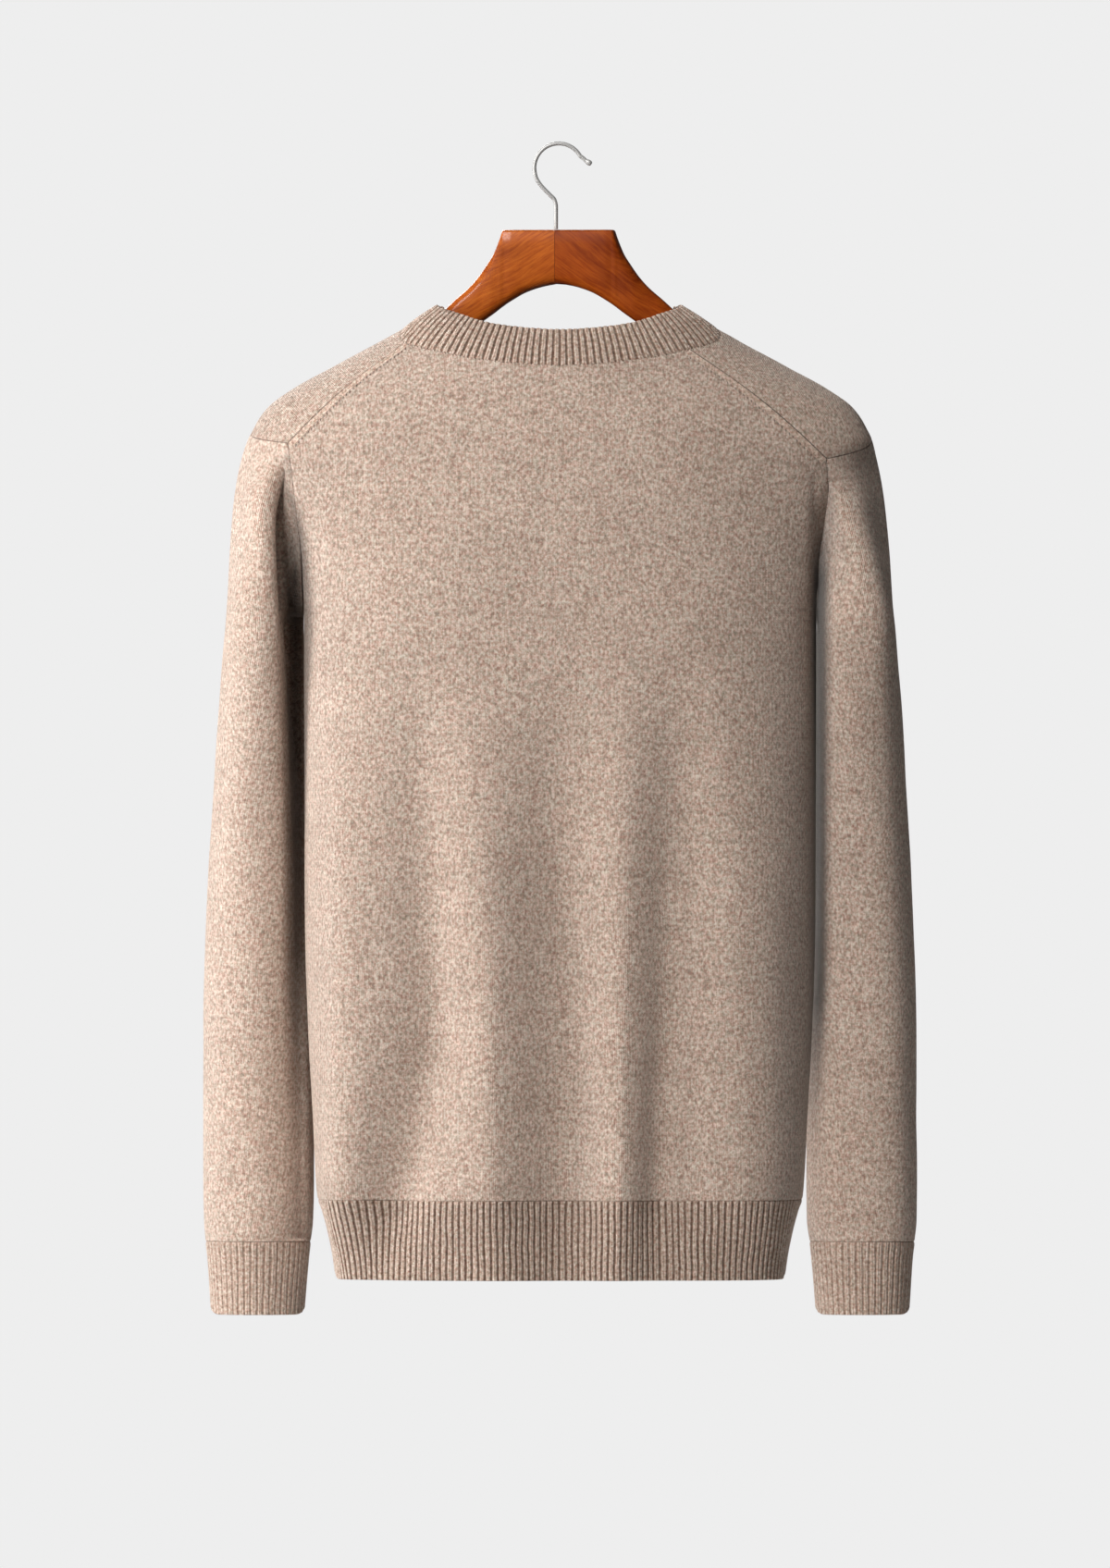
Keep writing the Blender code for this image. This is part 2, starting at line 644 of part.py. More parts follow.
def cloth_wall(name, grids, wall_at, col, mat, wrap=False):
    """A closed wall from flat grids: each grid is (columns, rows, tag). A grid vertex
    keeps its column and row, the faces are extruded once, and each vertex goes to the
    outer or inner point that wall_at(tag, column, row) gives."""
    bm = bmesh.new()
    lc, lr = bm.verts.layers.float.new("col"), bm.verts.layers.float.new("row")
    lt = bm.verts.layers.int.new("tag")
    for cols, rows, tag in grids:
        made = bmesh.ops.create_grid(bm, x_segments=cols, y_segments=rows, size=0.5)["verts"]
        for v in made:
            v[lc], v[lr] = round((v.co.x + 0.5) * cols), round((v.co.y + 0.5) * rows)
            v[lt] = tag
    points = {v: wall_at(v[lt], v[lc], v[lr]) for v in bm.verts}
    for v, (outer, _) in points.items():
        v.co = outer * MM
    if wrap:
        last = grids[0][0]
        first = {v[lr]: v for v in bm.verts if v[lc] == 0}
        bmesh.ops.weld_verts(bm, targetmap={v: first[v[lr]] for v in bm.verts if v[lc] == last})
    bmesh.ops.remove_doubles(bm, verts=list(bm.verts), dist=2e-6)
    out = bmesh.ops.extrude_face_region(bm, geom=list(bm.faces))["geom"]
    for v in out:
        if isinstance(v, bmesh.types.BMVert):
            v.co = wall_at(v[lt], v[lc], v[lr])[1] * MM
    return finish_mesh(bm, name, col, mat)


def build_back(col, mat):
    rows = ROWS_BODY + ROWS_BACK_ARM + FRONT_HALF_COLS
    return cloth_wall("back_panel", [(BACK_COLS, rows, 0)],
                      lambda tag, c, r: body_wall(*back_patch(c, r), KNIT_WALL), col, mat)


def build_front(col, mat):
    rows = ROWS_BODY + ROWS_FRONT_ARM + ROWS_CAP
    n = FRONT_HALF_COLS
    return cloth_wall("front_panel", [(n, rows, 1), (n, rows, -1)],
                      lambda tag, c, r: body_wall(*front_patch(tag, c, r), KNIT_WALL), col, mat)


def hem_bottom(a):
    """The band's lower edge rises a little where it rounds the side seams."""
    return Z_HEM_LOW + 3.0 * (1.0 - smoothstep(0.0, 0.35, abs(a)))


def build_hem(name, sign, cols, col, mat):
    def at(tag, c, r):
        u = 2.0 * c / cols - 1.0
        side = 1 if u >= 0 else -1
        top = Z_HEM_TOP - SEAM_GAP
        edge = sign * 0.15 / ring_of["b"](top)
        a = sign * math.pi / 2 + (edge - sign * math.pi / 2) * abs(u)
        z = mix(top, hem_bottom(a), r / ROWS_HEM)
        outer, _ = body_wall(side, a, z, RIB_WALL)
        n = body_normal(side, a, z)
        n.z = 0.0
        return outer, outer - n.normalized() * RIB_WALL
    return cloth_wall(name, [(cols, ROWS_HEM, 0)], at, col, mat)


def build_sleeve(name, side, col, mat):
    phis = sleeve_phis()
    n = len(phis)
    fan = [(j / ROWS_FAN) for j in range(ROWS_FAN)]
    vs = fan + [1.0 + j / ROWS_SLEEVE for j in range(ROWS_SLEEVE + 1)]
    return cloth_wall(name, [(n, len(vs) - 1, 0)],
                      lambda tag, c, r: sleeve_wall(side, phis[int(c) % n], vs[int(r)]),
                      col, mat, wrap=True)


def build_cuff(name, side, col, mat):
    phis = sleeve_phis()
    n = len(phis)
    return cloth_wall(name, [(n, ROWS_CUFF, 0)],
                      lambda tag, c, r: cuff_wall(side, phis[int(c) % n], r / ROWS_CUFF),
                      col, mat, wrap=True)


def build_neckband(col, mat):
    ring = band_ring()
    n = len(ring)
    return cloth_wall("neckband", [(n, ROWS_BAND, 0)],
                      lambda tag, c, r: band_wall(*ring[int(c) % n], r / ROWS_BAND),
                      col, mat, wrap=True)


# ------------------------------------------------------------------ hanger and hook
def rounded_outline(half_t, half_h, r, steps=2):
    """Corners of an upright rounded rectangle, (across, up), counter-clockwise."""
    r = min(r, half_t * 0.95, half_h * 0.95)
    pts = []
    for q, (cx, cy) in enumerate(((1, 1), (-1, 1), (-1, -1), (1, -1))):
        for k in range(steps + 1):
            t = math.pi / 2 * (q + k / steps)
            pts.append((cx * (half_t - r) + r * math.cos(t), cy * (half_h - r) + r * math.sin(t)))
    return pts


def build_hanger_half(name, side, col, mat):
    xs = [HANGER_SPLIT + side * 0.16]
    xs += [side * row[0] for row in HANGER if row[0] > abs(HANGER_SPLIT) + 3]
    yaw = math.radians(HANGER_YAW)
    corner = len(rounded_outline(1, 1, 0.1))
    bm = bmesh.new()
    made = bmesh.ops.create_cone(bm, cap_ends=False, segments=corner, radius1=1, radius2=1,
                                 depth=1)["verts"]
    bmesh.ops.delete(bm, geom=made, context='VERTS')
    rings = []
    for x in xs:
        ax = abs(x)
        top, low = hanger_of["top"](ax), hanger_of["low"](ax)
        y = hanger_of["y"](ax)
        y += math.copysign(max(0.0, ax - 55.0), x) * math.tan(math.radians(HANGER_STRAIGHTEN))
        outline = rounded_outline(hanger_of["t"](ax), (top - low) / 2, HANGER_ROUND)
        ring = []
        for across, up in outline:
            px, py, pz = x, y + across, (top + low) / 2 + up
            ring.append(bm.verts.new((MM * (px * math.cos(yaw) - py * math.sin(yaw)),
                                      MM * (px * math.sin(yaw) + py * math.cos(yaw)), MM * pz)))
        rings.append(ring)
    for a, b in zip(rings, rings[1:]):
        for i in range(corner):
            j = (i + 1) % corner
            bm.faces.new((a[i], a[j], b[j], b[i]))
    for end in (rings[0], rings[-1]):
        bm.faces.new(end)
    return finish_mesh(bm, name, col, mat, 35.0)


def build_hook(col, mat):
    cx, cz, r = HOOK_CIRCLE
    a0, a1, n = HOOK_ARC_DEG
    pts = [(x, z, 1.0) for x, z in HOOK_STEM]
    for k in range(n + 1):
        t = math.radians(mix(a0, a1, k / n))
        pts.append((cx + r * math.cos(t), cz + r * math.sin(t), 1.0))
    pts += list(HOOK_END)
    cu = bpy.data.curves.new("hook", 'CURVE')
    cu.dimensions = '3D'
    cu.bevel_depth = WIRE * MM
    cu.bevel_resolution = 2
    cu.use_fill_caps = True
    cu.render_resolution_u = 0
    sp = cu.splines.new('POLY')
    sp.points.add(len(pts) - 1)
    for p, (x, z, rad) in zip(sp.points, pts):
        p.co = (x * MM, 0.0, z * MM, 1.0)
        p.radius = rad
    sp.use_smooth = True
    cu.materials.append(mat)
    ob = bpy.data.objects.new("hook", cu)
    col.objects.link(ob)
    return ob


def main():
    clear_scene()
    col = new_collection("v_neck_sweater")
    knit = material("knit_beige", (0.42, 0.33, 0.27), 0.95, sheen=0.4)
    rib = material("rib_beige", (0.40, 0.31, 0.25), 0.95, sheen=0.4)
    wood = material("hanger_wood", (0.36, 0.085, 0.016), 0.28, coat=0.5)
    steel = material("hook_steel", (0.62, 0.61, 0.60), 0.28, metallic=1.0)
    parts = [
        build_back(col, knit), build_front(col, knit),
        build_sleeve("sleeve_left", +1, col, knit), build_sleeve("sleeve_right", -1, col, knit),
        build_cuff("cuff_left", +1, col, rib), build_cuff("cuff_right", -1, col, rib),
        build_hem("hem_rib_back", +1, BACK_COLS, col, rib),
        build_hem("hem_rib_front", -1, 2 * FRONT_HALF_COLS, col, rib),
        build_neckband(col, rib),
        build_hanger_half("hanger_left", +1, col, wood),
        build_hanger_half("hanger_right", -1, col, wood),
        build_hook(col, steel),
    ]
    root = bpy.data.objects.new("hung_from", None)
    col.objects.link(root)
    for ob in parts:
        ob.parent = root


main()
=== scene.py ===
"""Looks of a V-neck sweater on a wooden hanger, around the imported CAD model.

The cloth surfaces repeat the CAD's tables and functions at a finer step, as arrays.
Lengths are in millimetres until a mesh is made. The V neck faces -Y and the back of
the sweater faces +Y, which is where the photograph looks from.
"""

import math

import bpy
import numpy as np
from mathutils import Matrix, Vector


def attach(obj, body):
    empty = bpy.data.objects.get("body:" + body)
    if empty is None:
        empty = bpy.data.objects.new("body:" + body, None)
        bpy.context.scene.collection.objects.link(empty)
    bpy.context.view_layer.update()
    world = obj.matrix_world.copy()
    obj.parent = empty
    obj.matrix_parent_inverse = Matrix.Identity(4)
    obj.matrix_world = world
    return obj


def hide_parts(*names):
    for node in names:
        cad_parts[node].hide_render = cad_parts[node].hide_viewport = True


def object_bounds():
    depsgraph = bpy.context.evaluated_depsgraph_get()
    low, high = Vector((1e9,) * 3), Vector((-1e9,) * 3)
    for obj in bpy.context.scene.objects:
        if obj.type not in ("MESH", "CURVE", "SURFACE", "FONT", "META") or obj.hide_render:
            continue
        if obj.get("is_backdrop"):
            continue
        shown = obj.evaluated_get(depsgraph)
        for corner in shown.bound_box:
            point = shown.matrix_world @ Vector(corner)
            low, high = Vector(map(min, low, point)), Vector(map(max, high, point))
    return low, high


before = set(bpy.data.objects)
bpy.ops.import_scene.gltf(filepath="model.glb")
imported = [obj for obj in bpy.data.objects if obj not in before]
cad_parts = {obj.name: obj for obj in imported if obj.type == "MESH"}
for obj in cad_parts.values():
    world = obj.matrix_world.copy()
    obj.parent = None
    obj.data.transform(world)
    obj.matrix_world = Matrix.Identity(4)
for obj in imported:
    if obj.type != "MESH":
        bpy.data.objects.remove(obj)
cad_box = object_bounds()

# ------------------------------------------------------------------ sizes (mm)
MM = 0.001
KNIT_WALL = 2.0
RIB_WALL = 2.6
SEAM_GAP = 0.32
BODY_X = -1.0
Z_HEM_LOW, Z_HEM_TOP, Z_UNDERARM = -816.5, -759.0, -339.0
Z_V, Z_V_TOP, X_V_TOP = -305.0, -148.0, 105.0
Z_RIDGE_NECK = -131.3
FRONT_ARMHOLE_DEG = 31.0
Z_SLEEVE_TOP, Z_CUFF_SEAM, Z_CUFF_LOW = -352.0, -790.5, -845.5
Z_TEE_MID = -226.0
FRONT_ROWS_ARM, FRONT_ROWS = 9.0, 12.0    # the CAD's rows beside the armhole, and to the seam

WALE, COURSE = 2.35, 1.72      # one stitch of the plain knit: width, height
RIB_PITCH = 4.72               # one ridge and one groove of the 1x1 rib
RIB_DEPTH = 1.6

RING_COLUMNS = ("z", "w", "b", "c", "p")
RING = (
    (-105.0, 64.0, 44.0, -5.0, 2.10),
    (-120.0, 91.5, 52.0, -6.5, 2.12),
    (-134.7, 118.5, 60.0, -8.0, 2.15),
    (-148.0, 142.8, 67.0, -10.0, 2.20),
    (-161.3, 167.7, 73.0, -12.0, 2.20),
    (-174.7, 192.0, 79.0, -13.0, 2.25),
    (-188.0, 210.3, 84.0, -14.0, 2.25),
    (-201.3, 219.8, 87.5, -15.0, 2.30),
    (-214.7, 225.3, 90.5, -15.0, 2.30),
    (-241.0, 215.0, 94.0, -15.0, 2.30),
    (-268.0, 203.0, 97.0, -14.0, 2.32),
    (-301.0, 191.5, 99.5, -13.0, 2.35),
    (-328.0, 186.0, 101.0, -12.5, 2.40),
    (-339.0, 184.8, 101.5, -12.0, 2.40),
    (-428.0, 184.5, 101.0, -10.0, 2.40),
    (-561.0, 184.0, 98.0, -8.0, 2.40),
    (-641.0, 181.5, 96.5, -7.0, 2.40),
    (-700.0, 178.3, 95.5, -6.5, 2.40),
    (-745.0, 176.0, 95.0, -6.0, 2.40),
    (-759.0, 174.6, 94.0, -6.0, 2.40),
    (-766.0, 172.0, 92.5, -6.0, 2.40),
    (-788.0, 166.3, 89.5, -6.0, 2.38),
    (-801.0, 163.8, 88.0, -6.0, 2.36),
    (-816.5, 161.8, 87.0, -6.0, 2.35),
    (-830.0, 160.5, 86.0, -6.0, 2.35),
)
SIDES = {+1: (35.6, 195.7, -214.7, -206.7),      # neck_deg, tee_x, tee_z, cap_z
         -1: (50.4, 191.7, -226.0, -210.7)}
NECK_BACK = ((0.0, -131.3), (15.0, -134.8), (34.0, -142.3), (50.0, -147.6),
             (70.0, -155.8), (90.0, -161.3))
BACK_ARMHOLE = ((0.0, 184.8), (0.12, 184.7), (0.31, 185.3), (0.57, 189.3), (0.80, 192.8))
BAND_COLUMNS = ("q", "dx", "dy", "dz")
BAND_EDGE = (
    (0.00, 0.0, -11.0, 26.6),
    (0.11, 9.0, -10.0, 26.4),
    (0.22, 19.5, -7.0, 26.6),
    (0.31, 25.0, -4.0, 25.6),
    (0.50, 26.5, 1.0, 15.8),
    (0.62, 22.5, 8.0, 15.0),
    (0.80, 12.5, 6.0, 30.0),
    (1.00, 0.0, 3.0, 48.0),
)
SLEEVE_COLUMNS = ("z", "xo", "xi", "yc", "d")
SLEEVE = (
    (-339.0, 240.4, 184.0, -18.0, 57.5),
    (-352.0, 241.7, 183.2, -19.0, 57.0),
    (-374.7, 243.9, 181.5, -22.5, 56.0),
    (-401.3, 246.2, 180.3, -26.5, 54.5),
    (-428.0, 248.2, 179.6, -30.5, 53.0),
    (-494.7, 252.2, 178.4, -40.5, 49.5),
    (-561.3, 255.4, 178.2, -48.0, 46.5),
    (-641.3, 257.8, 178.2, -54.0, 44.0),
    (-694.7, 257.9, 178.0, -58.0, 42.0),
    (-745.0, 258.2, 177.9, -60.0, 40.5),
    (-776.0, 257.7, 178.6, -61.5, 39.0),
    (-790.5, 256.4, 180.4, -62.0, 38.0),
    (-803.0, 255.0, 181.8, -62.5, 36.0),
    (-830.0, 253.2, 184.2, -63.0, 34.0),
    (-845.5, 252.2, 185.4, -63.0, 33.3),
    (-855.0, 251.8, 185.8, -63.0, 33.0),
)
FOLD_COLUMNS = ("face", "x_high", "x_mid", "x_low", "z_start", "rise", "spread")
FOLD_Z = (-405.0, -645.0, -745.0)
FOLDS = (
    ("back", 153.0, 150.0, 149.0, -360.0, 8.5, 16.0),
    ("back", 102.0, 92.0, 116.0, -330.0, -13.0, 25.0),
    ("back", 60.0, 50.0, 48.0, -350.0, 7.0, 25.0),
    ("back", 1.0, -3.0, -4.0, -360.0, -11.0, 23.0),
    ("back", -46.0, -47.0, -46.0, -350.0, 7.0, 22.0),
    ("back", -85.0, -79.0, -74.0, -345.0, -12.5, 18.0),
    ("back", -138.0, -138.0, -138.0, -340.0, 8.0, 26.0),
    ("front", 136.0, 141.0, 142.0, -370.0, 6.0, 20.0),
    ("front", 96.0, 92.0, 88.0, -350.0, -9.0, 20.0),
    ("front", 40.0, 44.0, 42.0, -380.0, 6.5, 25.0),
    ("front", -8.0, -14.0, -12.0, -370.0, -8.5, 22.0),
    ("front", -60.0, -62.0, -64.0, -390.0, 6.5, 25.0),
    ("front", -112.0, -108.0, -112.0, -355.0, -9.0, 20.0),
)
FOLD_SOON, FOLD_AT_HEM_EDGE = 210.0, 0.5

HANGER_COLUMNS = ("x", "top", "low", "y", "t")
HANGER = (
    (0.0, -60.7, -99.3, 0.0, 10.5),
    (12.0, -60.7, -101.6, 0.0, 10.5),
    (24.0, -60.7, -105.6, 0.0, 10.5),
    (34.0, -60.7, -111.2, 0.0, 10.4),
    (39.4, -60.8, -114.7, -0.3, 10.3),
    (40.3, -61.6, -115.4, -0.3, 10.3),
    (41.2, -64.2, -116.0, -0.3, 10.3),
    (43.9, -71.4, -118.1, -0.4, 10.2),
    (47.2, -78.9, -120.6, -0.5, 10.2),
    (52.2, -86.7, -124.2, -0.6, 10.0),
    (57.8, -94.7, -128.2, -0.8, 9.8),
    (65.0, -102.7, -133.2, -1.1, 9.5),
    (74.3, -110.8, -139.0, -1.5, 9.2),
    (86.0, -121.4, -146.6, -3.4, 8.4),
    (100.0, -132.2, -155.5, -5.0, 7.8),
    (120.0, -143.4, -164.0, -7.0, 7.4),
    (145.0, -156.6, -174.5, -9.8, 7.2),
    (166.0, -168.0, -183.0, -12.4, 7.0),
    (178.0, -175.0, -187.5, -14.0, 6.4),
    (183.0, -179.0, -187.8, -14.6, 4.4),
)
HANGER_YAW, HANGER_STRAIGHTEN, HANGER_SPLIT, HANGER_ROUND = -5.5, 5.5, 2.0, 3.0

WIRE = 1.45
HOOK_CIRCLE = (0.0, -16.0, 17.6)
HOOK_STEM = ((2.0, -60.2), (2.0, -50.0), (2.0, -44.0), (3.0, -39.2), (6.2, -35.6),
             (10.4, -31.4), (14.2, -26.9), (16.8, -21.6))
HOOK_ARC_DEG = (0.0, 150.0, 13)
HOOK_END = ((-17.6, -9.0, 1.0), (-19.3, -10.6, 1.0), (-20.6, -11.5, 1.25),
            (-21.7, -12.2, 1.40), (-22.8, -12.9, 1.25), (-23.5, -13.4, 0.75))


# ------------------------------------------------------------------ curves
class Curve:
    """A smooth curve through (place, value) rows that never overshoots them."""

    def __init__(self, rows):
        rows = sorted(rows)
        self.x = np.array([r[0] for r in rows], float)
        self.y = np.array([r[1] for r in rows], float)
        step = np.diff(self.y) / np.diff(self.x)
        self.m = np.zeros(len(rows))
        self.m[0], self.m[-1] = step[0], step[-1]
        for i in range(1, len(rows) - 1):
            if step[i - 1] * step[i] > 0:
                h0, h1 = self.x[i] - self.x[i - 1], self.x[i + 1] - self.x[i]
                w1, w2 = 2 * h1 + h0, h1 + 2 * h0
                self.m[i] = (w1 + w2) / (w1 / step[i - 1] + w2 / step[i])

    def __call__(self, t):
        t = np.asarray(t, float)
        x, y, m = self.x, self.y, self.m
        i = np.clip(np.searchsorted(x, t, side="right") - 1, 0, len(x) - 2)
        h = x[i + 1] - x[i]
        s = np.clip((t - x[i]) / h, 0.0, 1.0)
        out = ((1 + 2 * s) * (1 - s) ** 2 * y[i] + s * (1 - s) ** 2 * h * m[i]
               + s * s * (3 - 2 * s) * y[i + 1] + s * s * (s - 1) * h * m[i + 1])
        out = np.where(t < x[0], y[0] + m[0] * (t - x[0]), out)
        return np.where(t > x[-1], y[-1] + m[-1] * (t - x[-1]), out)


def columns(rows, names):
    return {name: Curve([(r[0], r[k]) for r in rows]) for k, name in enumerate(names) if k}


ring_of = columns(RING, RING_COLUMNS)
sleeve_of = columns(SLEEVE, SLEEVE_COLUMNS)
hanger_of = columns(HANGER, HANGER_COLUMNS)
band_of = columns(BAND_EDGE, BAND_COLUMNS)
neck_curve = Curve(NECK_BACK)


def neck_back_z(deg):
    """Height of the back neck seam, level where it crosses the centre."""
    d = 90.0 - np.asarray(deg, float)
    return neck_curve(deg) + 0.275 * (np.sqrt(d * d + 36.0) - d)


def mix(a, b, t):
    return a + (b - a) * t


def smoothstep(lo, hi, t):
    t = np.clip((np.asarray(t, float) - lo) / (hi - lo), 0.0, 1.0)
    return t * t * (3 - 2 * t)


def points(x, y, z):
    return np.stack(np.broadcast_arrays(x, y, z), axis=-1)


def unit(v):
    return v / np.maximum(np.linalg.norm(v, axis=-1, keepdims=True), 1e-12)


def dot(a, b):
    return (a * b).sum(-1, keepdims=True)


def soft_noise(seed, x, y):
    """Smooth value noise from -1 to 1, one cell per unit."""
    table = np.random.default_rng(seed).uniform(-1, 1, (97, 89))
    i, j = np.floor(x).astype(int), np.floor(y).astype(int)
    fx, fy = x - i, y - j
    fx, fy = fx * fx * (3 - 2 * fx), fy * fy * (3 - 2 * fy)

    def at(a, b):
        return table[a % 97, b % 89]
    return mix(mix(at(i, j), at(i + 1, j), fx), mix(at(i, j + 1), at(i + 1, j + 1), fx), fy)


# ------------------------------------------------------------------ body surface
def squircle(a, p):
    ca, sa = np.cos(a), np.sin(a)
    r = (np.abs(ca) ** p + np.abs(sa) ** p) ** (-1.0 / p)
    return ca * r, sa * r


def angle_at(x, z):
    p = ring_of["p"](z)
    ratio = np.clip(x / ring_of["w"](z), 1e-6, 1.0)
    return np.arctan((ratio ** -p - 1.0) ** (1.0 / p))


def fold_rise(face, x, z):
    total = np.zeros(np.broadcast(x, z).shape)
    for row in FOLDS:
        f = dict(zip(FOLD_COLUMNS, row))
        if f["face"] != face:
            continue
        high = mix(f["x_high"], f["x_mid"], (z - FOLD_Z[0]) / (FOLD_Z[1] - FOLD_Z[0]))
        low = mix(f["x_mid"], f["x_low"], (z - FOLD_Z[1]) / (FOLD_Z[2] - FOLD_Z[1]))
        xc = np.where(z > FOLD_Z[1], high, low)
        grow = smoothstep(0.0, FOLD_SOON, f["z_start"] - z) * mix(0.78, 1.25, smoothstep(480.0, 760.0, -z))
        total = total + f["rise"] * grow * np.exp(-((x - xc) / f["spread"]) ** 2)
    return total * mix(1.0, FOLD_AT_HEM_EDGE, smoothstep(-Z_HEM_TOP - 10.0, -Z_HEM_LOW, -z))


def back_flatness(x, z):
    """The back is flatter than the rings' own curve, from the shoulder blades down."""
    beside, middle = np.exp(-((np.abs(x) - 138.0) / 46.0) ** 2), np.exp(-(x / 62.0) ** 2)
    return (6.0 * beside - 3.5 * middle) * smoothstep(235.0, 345.0, -z) * mix(1.0, 0.75, smoothstep(740.0, 820.0, -z))


def body_point(side, a, z):
    a, z = np.broadcast_arrays(np.asarray(a, float), np.asarray(z, float))
    p = ring_of["p"](z)
    cx, sy = squircle(a, p)
    w, b = ring_of["w"](z), ring_of["b"](z)
    x, y = w * cx, ring_of["c"](z) + b * sy
    gx = np.abs(cx) ** (p - 1) / w
    gy = np.copysign(np.abs(sy) ** (p - 1) / b, sy)
    k = np.hypot(gx, gy)
    xw = BODY_X + side * x
    d = np.where(sy > 0, fold_rise("back", xw, z) + back_flatness(xw, z), fold_rise("front", xw, z))
    d = d * smoothstep(0.12, 0.50, np.abs(np.sin(a)))
    return points(BODY_X + side * (x + d * gx / k), y + d * gy / k, z)


def body_normal(side, a, z):
    da, dz = 0.004, 0.4
    ta = body_point(side, a + da, z) - body_point(side, a - da, z)
    tz = body_point(side, a, z + dz) - body_point(side, a, z - dz)
    return unit(np.cross(ta, tz) * side)


def half_width_at(y, z):
    p = ring_of["p"](z)
    k = np.clip(np.abs(y - ring_of["c"](z)) / ring_of["b"](z), 0.0, 1.0)
    return ring_of["w"](z) * (1.0 - k ** p) ** (1.0 / p)


# ------------------------------------------------------------------ seams
def tee(side):
    _, x, z, _ = SIDES[side]
    return float(angle_at(x, z)), z


def neck_corner(side):
    a = math.radians(SIDES[side][0])
    return a, float(neck_back_z(math.degrees(a)))


def back_armhole(side, t):
    _, tx, tz, _ = SIDES[side]
    t = np.clip(np.asarray(t, float), 0.0, 1.0)
    z = mix(Z_UNDERARM, tz, t)
    x = Curve(BACK_ARMHOLE + ((1.0, tx),))(t)
    return np.where(t <= 0, 0.0, angle_at(x, z)), z


def front_armhole(side, t):
    t = 1.0 - (1.0 - np.clip(np.asarray(t, float), 0.0, 1.0)) ** 1.25
    z = mix(Z_UNDERARM, SIDES[side][3], t)
    return -math.radians(FRONT_ARMHOLE_DEG) * np.clip(np.sin(math.pi * t), 0.0, 1.0) ** 0.8, z


def cap_seam(side, t):
    ta, tz = tee(side)
    t = np.clip(np.asarray(t, float), 0.0, 1.0)
    return ta * t, mix(SIDES[side][3], tz, t)


def diagonal_seam(side, t):
    na, nz = neck_corner(side)
    ta, tz = tee(side)
    t = np.clip(np.asarray(t, float), 0.0, 1.0)
    cx, _ = squircle(na, float(ring_of["p"](nz)))
    x0, x1 = float(ring_of["w"](nz)) * cx, SIDES[side][1]
    bow = 2.5 * np.sin(math.pi * t)
    z, x = mix(nz, tz, t) + bow, mix(x0, x1, t) + bow
    a = angle_at(x, z)
    return np.where(t <= 0, na, np.where(t >= 1, ta, a)), z


def neck_half(q, side):
    q = np.asarray(q, float)
    deg = 90.0 * (1 - 2 * q)
    t = 2 * (1 - q)
    straight = 0.76
    k1 = np.clip(t / straight, 0.0, 1.0)
    z1 = mix(Z_V, Z_V_TOP, k1)
    a1 = -angle_at(np.maximum(X_V_TOP * k1, 1e-4), z1)
    k2 = np.clip((t - straight) / (1 - straight), 0.0, 1.0)
    a2 = -float(angle_at(X_V_TOP, Z_V_TOP)) * (1 - k2)
    z2 = mix(Z_RIDGE_NECK, Z_V_TOP, (1 - k2) ** 1.8)
    a = np.where(q <= 0.5, np.radians(deg), np.where(t <= straight, a1, a2))
    z = np.where(q <= 0.5, neck_back_z(np.clip(deg, 0.0, 90.0)), np.where(t <= straight, z1, z2))
    return a, z


def neck_corner_q(side):
    return 0.5 * (1 - SIDES[side][0] / 90.0)


# ------------------------------------------------------------------ patches
def back_place(side, k, v):
    """k 0 centre to 1 edge, v 0..1 body, 1..2 beside the armhole, 2..3 to the neck."""
    v1, v2, v3 = np.clip(v, 0, 1), np.clip(v - 1, 0, 1), np.clip(v - 2, 0, 1)
    z1 = mix(Z_HEM_TOP, Z_UNDERARM, v1)
    a2, z2 = back_armhole(side, v2)
    a3, z3 = diagonal_seam(side, 1.0 - v3)
    ae = np.where(v <= 1, 0.15 / ring_of["b"](z1), np.where(v <= 2, a2, a3 + 0.0026))
    ze = np.where(v <= 1, z1, np.where(v <= 2, z2, z3))
    zc = np.where(v <= 1, z1, np.where(v <= 2, mix(Z_UNDERARM, Z_TEE_MID, v2),
                                       mix(Z_TEE_MID, float(neck_back_z(90.0)), v3)))
    a = math.pi / 2 + (ae - math.pi / 2) * k
    z = mix(zc, ze, k * k)
    an = math.pi / 2 + (neck_corner(side)[0] - math.pi / 2) * k + 0.0026 * k ** 8
    zn = neck_back_z(np.degrees(an))
    w = smoothstep(0.45, 1.0, v3)
    return mix(a, an, w), mix(z, zn, w)


